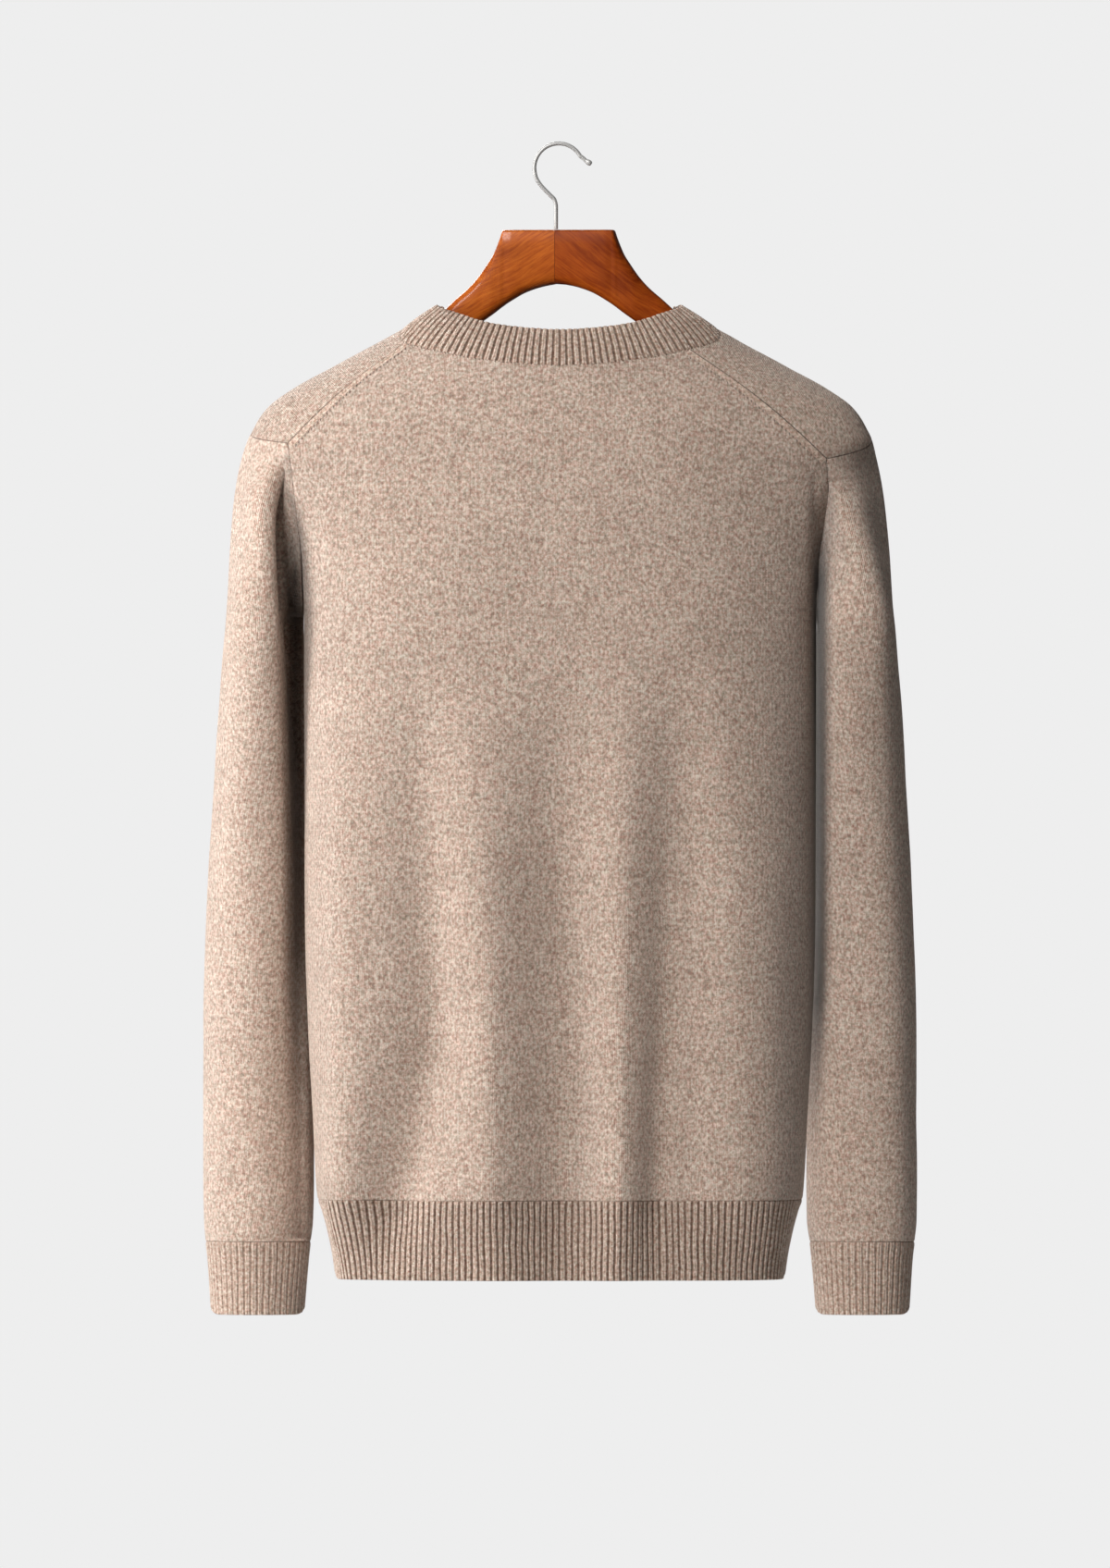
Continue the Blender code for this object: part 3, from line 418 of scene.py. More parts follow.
def front_place(side, k, v):
    """k 0 middle or neck edge to 1 side or armhole; v 0..1 body, then 1..13 rows."""
    v1, w = np.clip(v, 0, 1), np.clip(v - 1, 0, FRONT_ROWS)
    z1 = mix(Z_HEM_TOP, Z_UNDERARM, v1)
    ar, zr = front_armhole(side, w / FRONT_ROWS_ARM)
    ac, zc = cap_seam(side, (w - FRONT_ROWS_ARM) / (FRONT_ROWS - FRONT_ROWS_ARM))
    a1 = np.where(v <= 1, -0.15 / ring_of["b"](z1), np.where(w <= FRONT_ROWS_ARM, ar, ac))
    e1 = np.where(v <= 1, z1, np.where(w <= FRONT_ROWS_ARM, zr, zc))
    t = np.clip((w - 1.0) / (FRONT_ROWS - 1.0), 0.0, 1.0)
    an, zn = neck_half(mix(1.0, neck_corner_q(side), t), side)
    low = v <= 2.0
    a0 = np.where(low, -math.pi / 2, an)
    e0 = np.where(v <= 1, z1, np.where(low, mix(Z_UNDERARM, Z_V, w), zn))
    bend = smoothstep(FRONT_ROWS - 5.0, FRONT_ROWS, w)
    da, dz = diagonal_seam(side, k)
    na, nz = neck_corner(side)
    ta, tz = tee(side)
    a = mix(a0, a1, k) + bend * (da - mix(na, ta, k)) - 0.0026 * smoothstep(FRONT_ROWS - 1, FRONT_ROWS, w)
    z = mix(e0, e1, k) + bend * (dz - mix(nz, tz, k))
    return a, z


# ------------------------------------------------------------------ sleeves
def wrap_deg(phi):
    return np.where(phi > 180.0, phi - 360.0, np.where(phi < -180.0, phi + 360.0, phi))


def armhole_at(side, phi):
    a1, z1 = back_armhole(side, (180.0 - phi) / 128.0)
    a2, z2 = cap_seam(side, phi / 52.0)
    a3, z3 = front_armhole(side, 1.0 + phi / 180.0)
    return (np.where(phi >= 52.0, a1, np.where(phi >= 0.0, a2, a3)),
            np.where(phi >= 52.0, z1, np.where(phi >= 0.0, z2, z3)))


def armhole_frame(side, phi):
    a, z = armhole_at(side, phi)
    here, n = body_point(side, a, z), body_normal(side, a, z)

    def near(step):
        return body_point(side, *armhole_at(side, wrap_deg(phi + step)))
    along = unit(near(7.0) - near(-7.0))
    out = np.cross(along, n) * side
    return here, n, unit(out - n * dot(out, n))


def sleeve_section(side, phi, z):
    cx, sy = squircle(np.radians(phi), 2.2)
    xo, xi = sleeve_of["xo"](z), sleeve_of["xi"](z)
    x = (xo + xi) / 2 + (xo - xi) / 2 * cx
    y = sleeve_of["yc"](z) + sleeve_of["d"](z) * sy
    clear = half_width_at(y, z) + 1.8
    lying = (x + clear + np.hypot(x - clear, 2.4)) / 2
    x = np.where(z > Z_HEM_LOW - 20, lying, x)
    return points(BODY_X + side * x, y, z)


def sleeve_fan(side, phi, w):
    here, n, out = armhole_frame(side, phi)
    off = 180.0 - np.abs(phi)
    turn = (math.pi * (1.0 - smoothstep(0.0, 75.0, off)))[..., None]
    lean = smoothstep(math.pi / 2, math.pi, turn)
    gap = SEAM_GAP * mix(1.7, 1.2, smoothstep(25.0, 45.0, np.abs(phi)))[..., None]
    start = here + gap * unit(out * (1 - lean * 0.7) + n * lean)
    foot = sleeve_section(side, phi, np.full_like(phi, Z_SLEEVE_TOP))
    low = sleeve_section(side, phi, np.full_like(phi, Z_SLEEVE_TOP - 4.0))
    span = np.linalg.norm(foot - start, axis=-1, keepdims=True)
    down = np.array((0.3 * side, 0.0, -1.0))
    down = unit(down - n * dot(n, down))
    hang = (1.0 - smoothstep(70.0, 150.0, np.abs(phi)))[..., None]
    leave = unit(out * (1.0 - 0.85 * hang) + down * hang)
    reach = mix(0.75, 0.25, smoothstep(10.0, 65.0, np.abs(phi))) + 0.30 * np.exp(-((np.abs(phi) - 82.0) / 26.0) ** 2)
    m0 = (leave * np.cos(turn) + n * np.sin(turn)) * span * reach[..., None]
    m1 = (low - foot) / 4.0 * span
    w = np.asarray(w, float)[..., None]
    h00, h10 = (1 + 2 * w) * (1 - w) ** 2, w * (1 - w) ** 2
    h01, h11 = w * w * (3 - 2 * w), w * w * (w - 1)
    return start * h00 + m0 * h10 + foot * h01 + m1 * h11


# ------------------------------------------------------------------ neckband
def band_frame(side, q):
    a, z = neck_half(q, side)
    here, n = body_point(side, a, z), body_normal(side, a, z)
    dq = 0.004
    p0 = body_point(side, *neck_half(np.maximum(0.0, q - dq), side))
    p1 = body_point(side, *neck_half(np.minimum(1.0, q + dq), side))
    out = np.cross(unit(p1 - p0), n) * side
    tip = (q >= 1.0 - 1e-9)[..., None]
    out = np.where(tip, points(0.0 * q, out[..., 1], np.abs(out[..., 2]) + 0.5), out)
    back = (q <= 1e-9)[..., None]
    out = np.where(back, points(0.0 * q, out[..., 1], out[..., 2]), out)
    return here, n, unit(out), tip


def band_side(side, q, h):
    here, n, out, tip = band_frame(side, q)
    start = here + out * SEAM_GAP * np.where(tip, 1.9, 1.0)
    pull = (1.5 if side > 0 else 4.0) * np.exp(-((q - 0.45) / 0.15) ** 2)
    step = points(-side * (band_of["dx"](q) + pull), band_of["dy"](q), band_of["dz"](q))
    return start + step * h[..., None] + n * (np.sin(math.pi * h) * 1.6)[..., None]


def band_surface(tau, h):
    """tau once round: 0 centre back, 0.5 the left shoulder, 1 the V's point, 2 again."""
    tau, h = np.broadcast_arrays(np.mod(tau, 2.0), h)
    left = band_side(+1, np.clip(tau, 0.0, 1.0), h)
    right = band_side(-1, np.clip(2.0 - tau, 0.0, 1.0), h)
    return np.where((tau <= 1.0)[..., None], left, right)


# ------------------------------------------------------------------ meshes
def steps(count, length, edges=(True, True)):
    """0..1 in even steps, with closer steps where an edge of the cloth rounds off."""
    near = [d / length for d in (0.0, 0.28, 0.65, 1.1, 1.9)]
    t = list(np.linspace(0, 1, count + 1))
    lo = near if edges[0] else [0.0]
    hi = [1 - d for d in reversed(near)] if edges[1] else [1.0]
    inner = [x for x in t if lo[-1] + 0.4 / count < x < hi[0] - 0.4 / count]
    return np.array(lo + inner + hi)


def grid_normals(p, closed):
    if closed:
        dc = np.roll(p, -1, 1) - np.roll(p, 1, 1)
    else:
        dc = np.gradient(p, axis=1)
    return unit(np.cross(dc, np.gradient(p, axis=0)))


def lengths(p, axis):
    d = np.linalg.norm(np.diff(p, axis=axis), axis=-1)
    shape = list(d.shape)
    shape[axis] = 1
    return np.concatenate([np.zeros(shape), np.cumsum(d, axis=axis)], axis=axis)


def edge_inset(dist, r):
    """How far the surface drops within r of an edge, as a quarter round."""
    t = np.clip(r - dist, 0.0, r)
    return r - np.sqrt(np.maximum(r * r - t * t, 0.0))


def stitch_uv(p, ref=0):
    """Wale and course coordinates of a grid: across along the rows, along the columns."""
    across = lengths(p, 1)
    across = across - across[:, ref:ref + 1]
    n = p.shape[1]
    c0, c1 = max(ref - 1, 0), min(ref + 1, n - 1)
    tangent = unit(p[:, c1] - p[:, c0])
    hop = np.diff(p[:, ref], axis=0)
    shift = np.concatenate([[0.0], np.cumsum((hop * tangent[1:]).sum(-1))])
    row_t = unit(np.gradient(p, axis=1))
    rise = np.diff(p, axis=0)
    side_step = (rise * row_t[1:]).sum(-1, keepdims=True) * row_t[1:]
    up = np.linalg.norm(rise - side_step, axis=-1)
    up = np.concatenate([np.zeros((1, n)), np.cumsum(up, axis=0)])
    return np.stack([(across + shift[:, None]) / WALE, up / COURSE], -1)


def new_object(name, verts, faces, uvs, mats, which=None):
    """faces is a list of (n, k) arrays, uvs one (n, k, 2) array for each."""
    me = bpy.data.meshes.new(name)
    me.from_pydata((verts * MM).tolist(), [], [f for block in faces for f in block.tolist()])
    layer = me.uv_layers.new(name="knit")
    layer.data.foreach_set("uv", np.concatenate([u.reshape(-1) for u in uvs]).astype(np.float32))
    for m in mats:
        me.materials.append(m)
    if which is not None:
        me.polygons.foreach_set("material_index", np.concatenate(which).astype(np.int32))
    me.shade_smooth()
    me.update()
    ob = bpy.data.objects.new(name, me)
    bpy.context.scene.collection.objects.link(ob)
    return ob


def grid_quads(rows, cols, closed, base=0, flip=False):
    r, c = np.meshgrid(np.arange(rows - 1), np.arange(cols if closed else cols - 1), indexing="ij")
    c2 = (c + 1) % cols
    q = np.stack([r * cols + c, r * cols + c2, (r + 1) * cols + c2, (r + 1) * cols + c], -1).reshape(-1, 4) + base
    return q[:, ::-1] if flip else q


def corner_values(uv, rows, cols, closed, flip=False):
    """Per corner values of a grid; uv has one column more when the grid is closed."""
    n = cols if closed else cols - 1
    q = np.stack([uv[:-1, :n], uv[:-1, 1:n + 1], uv[1:, 1:n + 1], uv[1:, :n]], 2).reshape(-1, 4, 2)
    return q[:, ::-1] if flip else q


def close_wall(name, quads, corner_uv, outer, inner, mats):
    """Two copies of the same faces, joined along every open edge."""
    n = len(outer)
    a, b = quads.reshape(-1), np.roll(quads, -1, axis=1).reshape(-1)
    ua, ub = corner_uv.reshape(-1, 2), np.roll(corner_uv, -1, axis=1).reshape(-1, 2)
    key, back = a.astype(np.int64) * n + b, b.astype(np.int64) * n + a
    open_edge = ~np.isin(key, back)
    a, b, ua, ub = a[open_edge], b[open_edge], ua[open_edge], ub[open_edge]
    strips = np.stack([b, a, a + n, b + n], -1)
    strip_uv = np.stack([ub, ua, ua, ub], 1)
    inside, inside_uv = quads[:, ::-1] + n, corner_uv[:, ::-1]
    which = [np.zeros(len(quads)), np.ones(len(inside)), np.zeros(len(strips))]
    return new_object(name, np.concatenate([outer, inner]), [quads, inside, strips],
                      [corner_uv, inside_uv, strip_uv], mats, which)


def report_flat(name, p, closed):
    q = np.concatenate([p, p[:, :1]], 1) if closed else p
    d1, d2 = q[1:, 1:] - q[:-1, :-1], q[1:, :-1] - q[:-1, 1:]
    area = 0.5 * np.linalg.norm(np.cross(d1, d2), axis=-1).sum() / 1e6
    across, along = lengths(q, 1)[:, -1], lengths(q, 0)[-1]
    print("flat", name, "width %.3f..%.3f" % (across.min() / 1e3, across.max() / 1e3),
          "length %.3f..%.3f" % (along.min() / 1e3, along.max() / 1e3), "area %.4f" % area)


# ------------------------------------------------------------------ materials
class Tree:
    """Short names for the node calls below."""

    def __init__(self, name):
        self.mat = bpy.data.materials.new(name)
        self.mat.use_nodes = True
        self.nodes, self.links = self.mat.node_tree.nodes, self.mat.node_tree.links
        self.shader = self.nodes["Principled BSDF"]

    def put(self, socket, value):
        if isinstance(value, bpy.types.NodeSocket):
            self.links.new(value, socket)
        elif value is not None:
            socket.default_value = value

    def math(self, op, a, b=None, c=None, clamp=False):
        n = self.nodes.new("ShaderNodeMath")
        n.operation, n.use_clamp = op, clamp
        for i, value in enumerate((a, b, c)):
            self.put(n.inputs[i], value)
        return n.outputs[0]

    def noise(self, where, scale, detail=2.0, rough=0.5, distortion=0.0):
        n = self.nodes.new("ShaderNodeTexNoise")
        self.put(n.inputs["Vector"], where)
        self.put(n.inputs["Scale"], scale)
        self.put(n.inputs["Detail"], detail)
        self.put(n.inputs["Roughness"], rough)
        self.put(n.inputs["Distortion"], distortion)
        return n.outputs["Fac"]

    def place(self, where, scale=(1, 1, 1), move=(0, 0, 0)):
        n = self.nodes.new("ShaderNodeMapping")
        self.put(n.inputs["Vector"], where)
        n.inputs["Scale"].default_value = scale
        n.inputs["Location"].default_value = move
        return n.outputs[0]

    def ramp(self, fac, stops, mode="LINEAR"):
        n = self.nodes.new("ShaderNodeValToRGB")
        n.color_ramp.interpolation = mode
        e = n.color_ramp.elements
        while len(e) < len(stops):
            e.new(0.5)
        for k, (at, colour) in enumerate(stops):
            e[k].position = at
            e[k].color = (*colour, 1.0) if len(colour) == 3 else colour
        self.put(n.inputs[0], fac)
        return n.outputs[0]

    def blend(self, kind, fac, a, b):
        n = self.nodes.new("ShaderNodeMix")
        n.data_type, n.blend_type = "RGBA", kind
        self.put(n.inputs[0], fac)
        self.put(n.inputs[6], a)
        self.put(n.inputs[7], b)
        return n.outputs[2]

    def bump(self, height, distance, strength=1.0, over=None):
        n = self.nodes.new("ShaderNodeBump")
        self.put(n.inputs["Height"], height)
        n.inputs["Distance"].default_value = distance
        n.inputs["Strength"].default_value = strength
        if over is not None:
            self.put(n.inputs["Normal"], over)
        return n.outputs[0]

    def uv(self, name):
        n = self.nodes.new("ShaderNodeUVMap")
        n.uv_map = name
        return n.outputs[0]

    def split(self, vector):
        n = self.nodes.new("ShaderNodeSeparateXYZ")
        self.put(n.inputs[0], vector)
        return n.outputs

    def object_place(self):
        return self.nodes.new("ShaderNodeTexCoord").outputs["Object"]


def srgb(r, g, b):
    return tuple(((c / 255.0) / 12.92) if c <= 10 else (((c / 255.0 + 0.055) / 1.055) ** 2.4) for c in (r, g, b))


YARN_DARK = srgb(112, 84, 72)
YARN_LOW = srgb(168, 145, 129)
YARN_MID = srgb(199, 178, 163)
YARN_HIGH = srgb(221, 204, 190)
YARN_CREAM = srgb(246, 236, 224)
YARN_PINK = srgb(206, 160, 142)
YARN_GREY = srgb(186, 176, 156)


def yarn_material(name, stitch, relief, darken=1.0, groove=(0.50, 0.44, 0.40)):
    """Melange wool. stitch is 'plain' (V stitches), 'purl' (wavy rows) or 'rib'. groove is the painted shade colour of
    the rib's purl wales.
    """
    t = Tree(name)
    where = t.object_place()
    uv = t.uv("knit")
    u, v, _ = t.split(uv)
    # stitch relief
    cell = t.math("SUBTRACT", t.math("FRACT", u), 0.5)
    off = t.math("ABSOLUTE", cell)                      # 0 middle of the wale, 0.5 its edge
    if stitch == "plain":
        leg = t.math("ABSOLUTE", t.math("MULTIPLY_ADD", off, 4.0, -1.0))
        column = t.math("SUBTRACT", 1.0, t.math("POWER", leg, 2.2))
        phase = t.math("FRACT", t.math("MULTIPLY_ADD", off, -1.9, v))
        turn = t.math("ABSOLUTE", t.math("MULTIPLY_ADD", phase, 2.0, -1.0))
        row = t.math("SUBTRACT", 1.0, t.math("POWER", turn, 2.0))
        height = t.math("MULTIPLY", column, t.math("MULTIPLY_ADD", row, 0.6, 0.4))
    elif stitch == "purl":
        wave = t.math("SINE", t.math("MULTIPLY", u, 2 * math.pi))
        phase = t.math("FRACT", t.math("MULTIPLY_ADD", wave, 0.22, v))
        turn = t.math("ABSOLUTE", t.math("MULTIPLY_ADD", phase, 2.0, -1.0))
        height = t.math("SUBTRACT", 1.0, t.math("POWER", turn, 2.0))
    else:
        leg = t.math("ABSOLUTE", t.math("MULTIPLY_ADD", off, 5.2, -1.0))
        column = t.math("SUBTRACT", 1.0, t.math("MINIMUM", t.math("POWER", leg, 2.0), 1.0))
        phase = t.math("FRACT", t.math("MULTIPLY_ADD", off, -2.4, v))
        turn = t.math("ABSOLUTE", t.math("MULTIPLY_ADD", phase, 2.0, -1.0))
        row = t.math("SUBTRACT", 1.0, t.math("POWER", turn, 2.0))
        height = t.math("MULTIPLY", column, t.math("MULTIPLY_ADD", row, 0.65, 0.35))
    fuzz = t.noise(where, 1500.0, 2.0, 0.65)
    # colour: each loop has its own tone, and the mixed fibres fleck it
    wide = 2.4 if stitch == "rib" else 1.2
    plain_knit = stitch == "plain"
    loop = t.noise(t.place(where, (510.0, 510.0, 360.0)) if plain_knit else t.place(uv, (wide, 0.62, 1.0)), 1.0, 1.0, 0.6)
    fleck = t.noise(where, 540.0, 2.0, 0.7)
    tone = t.math("MULTIPLY_ADD", loop, 0.58, t.math("MULTIPLY", fleck, 0.42))
    colour = t.ramp(tone, ((0.34, YARN_DARK), (0.44, YARN_LOW), (0.50, YARN_MID),
                           (0.565, YARN_HIGH), (0.65, YARN_CREAM)))
    hue = t.noise(t.place(where, (408.0, 408.0, 465.0), (7.3, 2.9, 0.0)) if plain_knit
                  else t.place(uv, (wide * 0.8, 0.8, 1.0), (7.3, 2.9, 0.0)), 1.0, 2.0, 0.6)
    tint = t.ramp(hue, ((0.38, YARN_GREY), (0.62, YARN_PINK)))
    colour = t.blend("MIX", 0.42, colour, tint)
    run = t.noise(t.place(where, (68.0, 68.0, 520.0)) if plain_knit else t.place(uv, (0.16, 0.9, 1.0)), 1.0, 2.0, 0.6)
    streak = t.ramp(run, ((0.28, (0.89, 0.885, 0.88)), (0.72, (1.07, 1.07, 1.07))))
    colour = t.blend("MULTIPLY", 1.0, colour, streak)
    cloud = t.noise(t.place(where, (14.0, 14.0, 34.0)), 1.0, 3.0, 0.55)
    wash = t.ramp(cloud, ((0.30, (0.94, 0.935, 0.93)), (0.70, (1.05, 1.05, 1.05))))
    colour = t.blend("MULTIPLY", 1.0, colour, wash)
    # painted shade: the colour darkens where the stitch relief is low, between the loops
    gap = t.ramp(height, ((0.0, (0.66, 0.61, 0.58)), (0.5, (1.0, 1.0, 1.0))))
    colour = t.blend("MULTIPLY", 0.7, colour, gap)
    if stitch == "rib":                                 # painted shade in the purl wale, which lies deep between the ridges
        deep = t.ramp(off, ((0.22, (1.0, 1.0, 1.0)), (0.44, groove)), "EASE")
        colour = t.blend("MULTIPLY", 1.0, colour, deep)
    if stitch != "rib":                                 # painted shade: the colour darkens where the sleeves meet the body, where little light gets
        x, _, z = t.split(where)
        line = t.math("MULTIPLY_ADD", t.math("SIGN", x), 0.00125, 0.18875)
        line = t.math("MULTIPLY_ADD", t.math("MAXIMUM", t.math("SUBTRACT", -0.60, z), 0.0), -0.045, line)
        near = t.math("MULTIPLY", t.math("ABSOLUTE", t.math("SUBTRACT", t.math("ABSOLUTE", x), line)), 1 / 0.0105)
        painted_contact_shade = t.ramp(near, ((0.0, (0.05, 0.045, 0.04)), (0.33, (0.17, 0.16, 0.15)), (0.66, (0.66, 0.65, 0.64)), (1.0, (1.0, 1.0, 1.0))))
        contact_shade_amount = t.math("MULTIPLY_ADD", z, -1 / 0.06, -0.25 / 0.06, clamp=True)
        left = t.math("MULTIPLY_ADD", t.math("SIGN", x), 0.5, 0.5)
        lower = t.math("MINIMUM", t.math("MULTIPLY_ADD", z, -1.3, -0.40, clamp=True), 0.5)
        contact_shade_amount = t.math("MULTIPLY", contact_shade_amount, t.math("SUBTRACT", 1.0, t.math("MULTIPLY", left, lower)))
        contact_shade_amount = t.math("MULTIPLY", contact_shade_amount, t.math("MULTIPLY_ADD", z, 1 / 0.12, 0.735 / 0.12, clamp=True))
        colour = t.blend("MULTIPLY", contact_shade_amount, colour, painted_contact_shade)
    if darken != 1.0:
        colour = t.blend("MULTIPLY", 1.0, colour, (darken, darken, darken, 1.0))
    t.put(t.shader.inputs["Base Color"], colour)
    t.put(t.shader.inputs["Roughness"], t.math("MULTIPLY_ADD", fuzz, 0.16, 0.82))
    t.shader.inputs["Specular IOR Level"].default_value = 0.2
    t.shader.inputs["Sheen Weight"].default_value = 0.30
    t.shader.inputs["Sheen Roughness"].default_value = 0.42
    t.shader.inputs["Sheen Tint"].default_value = (1.0, 0.95, 0.90, 1.0)
    first = t.bump(height, relief * MM, 0.9)
    t.put(t.shader.inputs["Normal"], t.bump(fuzz, 0.30 * MM, 0.6, first))
    return t.mat


def wood_material(name, tint):
    """Lacquered hardwood with a fine straight grain. tint darkens each half; the right half's much darker tint is
    painted shade.
    """
    t = Tree(name)
    uv = t.uv("knit")                                   # along the grain and across it, in metres
    bend = t.noise(t.place(uv, (16.0, 34.0, 1.0)), 1.0, 2.0, 0.5)
    lift = t.math("MULTIPLY", bend, 0.012)
    u, v, _ = t.split(uv)
    comb = t.nodes.new("ShaderNodeCombineXYZ")
    t.put(comb.inputs[0], u)
    t.put(comb.inputs[1], t.math("ADD", v, lift))
    grain = t.noise(t.place(comb.outputs[0], (46.0, 520.0, 1.0)), 1.0, 4.0, 0.66)
    colour = t.ramp(grain, ((0.28, srgb(150, 66, 16)), (0.44, srgb(174, 84, 24)),
                            (0.56, srgb(190, 98, 30)), (0.76, srgb(206, 116, 40))))
    pores = t.noise(t.place(comb.outputs[0], (150.0, 1500.0, 1.0)), 1.0, 2.0, 0.5)
    dark = t.ramp(pores, ((0.32, (0.66, 0.58, 0.50)), (0.46, (1.0, 1.0, 1.0))))
    colour = t.blend("MULTIPLY", 0.4, colour, dark)
    patch = t.noise(t.place(uv, (20.0, 34.0, 1.0), (0.3, 0.7, 0.0)), 1.0, 2.0, 0.5)
    colour = t.blend("MULTIPLY", 1.0, colour, t.ramp(patch, ((0.32, (0.60, 0.47, 0.36)), (0.5, (0.92, 0.88, 0.82)), (0.68, (1.12, 1.12, 1.10)))))
    colour = t.blend("MULTIPLY", 1.0, colour, (*tint, 1.0))
    t.put(t.shader.inputs["Base Color"], colour)
    t.put(t.shader.inputs["Roughness"], t.math("MULTIPLY_ADD", grain, 0.16, 0.36))
    t.shader.inputs["Specular IOR Level"].default_value = 0.10
    t.shader.inputs["Coat Weight"].default_value = 0.18
    t.shader.inputs["Coat Roughness"].default_value = 0.14
    return t.mat


def steel_material():
    t = Tree("bright_steel_wire")
    where = t.object_place()
    drawn = t.noise(t.place(where, (30.0, 30.0, 30.0)), 1.0, 1.0, 0.5)
    t.shader.inputs["Metallic"].default_value = 0.5
    t.put(t.shader.inputs["Base Color"], t.ramp(drawn, ((0.3, (0.44, 0.43, 0.42)), (0.7, (0.52, 0.51, 0.49)))))
    t.put(t.shader.inputs["Roughness"], t.math("MULTIPLY_ADD", drawn, 0.08, 0.44))
    return t.mat


def floor_material():
    t = Tree("pale_floor")
    where = t.object_place()
    soft = t.noise(where, 3.0, 2.0, 0.5)
    t.put(t.shader.inputs["Base Color"], t.ramp(soft, ((0.3, (0.80, 0.80, 0.80)), (0.7, (0.83, 0.83, 0.83)))))
    t.shader.inputs["Roughness"].default_value = 0.9
    return t.mat


PLAIN = yarn_material("melange_knit", "plain", 0.55)
PURL = yarn_material("melange_knit_inside", "purl", 0.50, 0.94)
RIB = yarn_material("melange_rib", "rib", 0.55, 0.94)
RIB_SOFT = yarn_material("melange_cuff_rib", "rib", 0.42, 0.86, groove=(0.84, 0.81, 0.79))
# SEAM, the narrowed-loop yarn and SHADED are the knit yarn darkened as painted shade, for the shadow down in the seams
# and between the narrowed loops; SHADED is darkest, for the right side
SEAM = yarn_material("melange_seam_yarn", "purl", 0.20, 0.86)
LOOPS_IN_PAINTED_SHADE = yarn_material("melange_loops_painted_shade", "purl", 0.20, 0.42)
SHADED = yarn_material("melange_seam_in_shade", "purl", 0.20, 0.26)
# WELT is the knit yarn a little lighter, a painted highlight on the raised edge wales
WELT = yarn_material("melange_edge_wales", "purl", 0.15, 1.06)


def cloth(ob, nodes):
    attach(ob, "root")
    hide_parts(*nodes)


# ------------------------------------------------------------------ plain knit panels
EDGE_ROUND = 0.75


def small_relief(p, seed):
    """Slight unevenness of a knitted panel, in mm."""
    x, z = p[..., 0], p[..., 2]
    y = p[..., 1]
    return (0.34 * soft_noise(seed, (x + 0.6 * y) / 34.0, z / 58.0)
            + 0.20 * soft_noise(seed + 1, (x - 0.4 * y) / 15.0, z / 27.0))


def side_tuck(p):
    """The small crease beside the right armhole."""
    x, z = p[..., 0], p[..., 2]
    line = -184.5 + 0.02 * (z + 240.0)
    return -1.4 * np.exp(-((x - line) / 4.0) ** 2) * smoothstep(226.0, 248.0, -z) * (1.0 - smoothstep(262.0, 296.0, -z))


def seam_valley(side, z):
    """How far the right armhole seam sinks towards -Y, where the back turns under the arm."""
    return (0.0 if side > 0 else 6.0) * smoothstep(240.0, 272.0, -z) * (1.0 - smoothstep(314.0, 337.0, -z))


def build_back():
    vs = np.concatenate([steps(128, 420.0, (True, False)), 1 + steps(36, 115.0, (False, False))[1:],
                         2 + steps(30, 85.0, (False, True))[1:]])
    marks = [d / 260.0 for d in (3.4, 5.0, 6.0, 6.8, 7.6, 8.6, 10.0)]
    ks = steps(62, 200.0, (False, True))
    ks = np.unique(np.round(np.concatenate([ks, [1 - m for m in marks]]), 6))
    left = body_point(+1, *back_place(+1, ks[None, :], vs[:, None]))
    right = body_point(-1, *back_place(-1, ks[None, :], vs[:, None]))
    p = np.concatenate([right[:, ::-1], left[:, 1:]], 1)
    mid = len(ks) - 1
    p = p - points(0.0, seam_valley(-1, p[:, :1, 2]) * np.exp(-(lengths(p, 1) / 10.0) ** 2), 0.0)
    n = -grid_normals(p, False)
    report_flat("back_panel", p, False)
    across, along = lengths(p, 1), lengths(p, 0)
    d_side = np.minimum(across, across[:, -1:] - across)
    d_end = np.minimum(along, along[-1:] - along)
    inset = np.maximum(edge_inset(d_side, EDGE_ROUND), edge_inset(d_end, EDGE_ROUND))
    uv = stitch_uv(p, mid)
    # it is even beside each diagonal seam, where the edge wales and the narrowings lie
    up = np.clip((vs - 2.0), 0, 1)[:, None]
    even = mix(smoothstep(0.0, 12.0, np.minimum(d_side, d_end)), smoothstep(12.0, 26.0, np.minimum(d_side, d_end)), smoothstep(0.0, 0.06, up))
    lift = small_relief(p, 11) * even + side_tuck(p)
    rows, cols = p.shape[:2]
    outer = (p + n * (lift - inset)[..., None]).reshape(-1, 3)
    inner = (p + n * (np.minimum(lift, 0.2) - KNIT_WALL)[..., None]).reshape(-1, 3)
    q = grid_quads(rows, cols, False, flip=True)
    return close_wall("back_panel_knit", q, corner_values(uv, rows, cols, False, flip=True), outer, inner, (PLAIN, PURL))


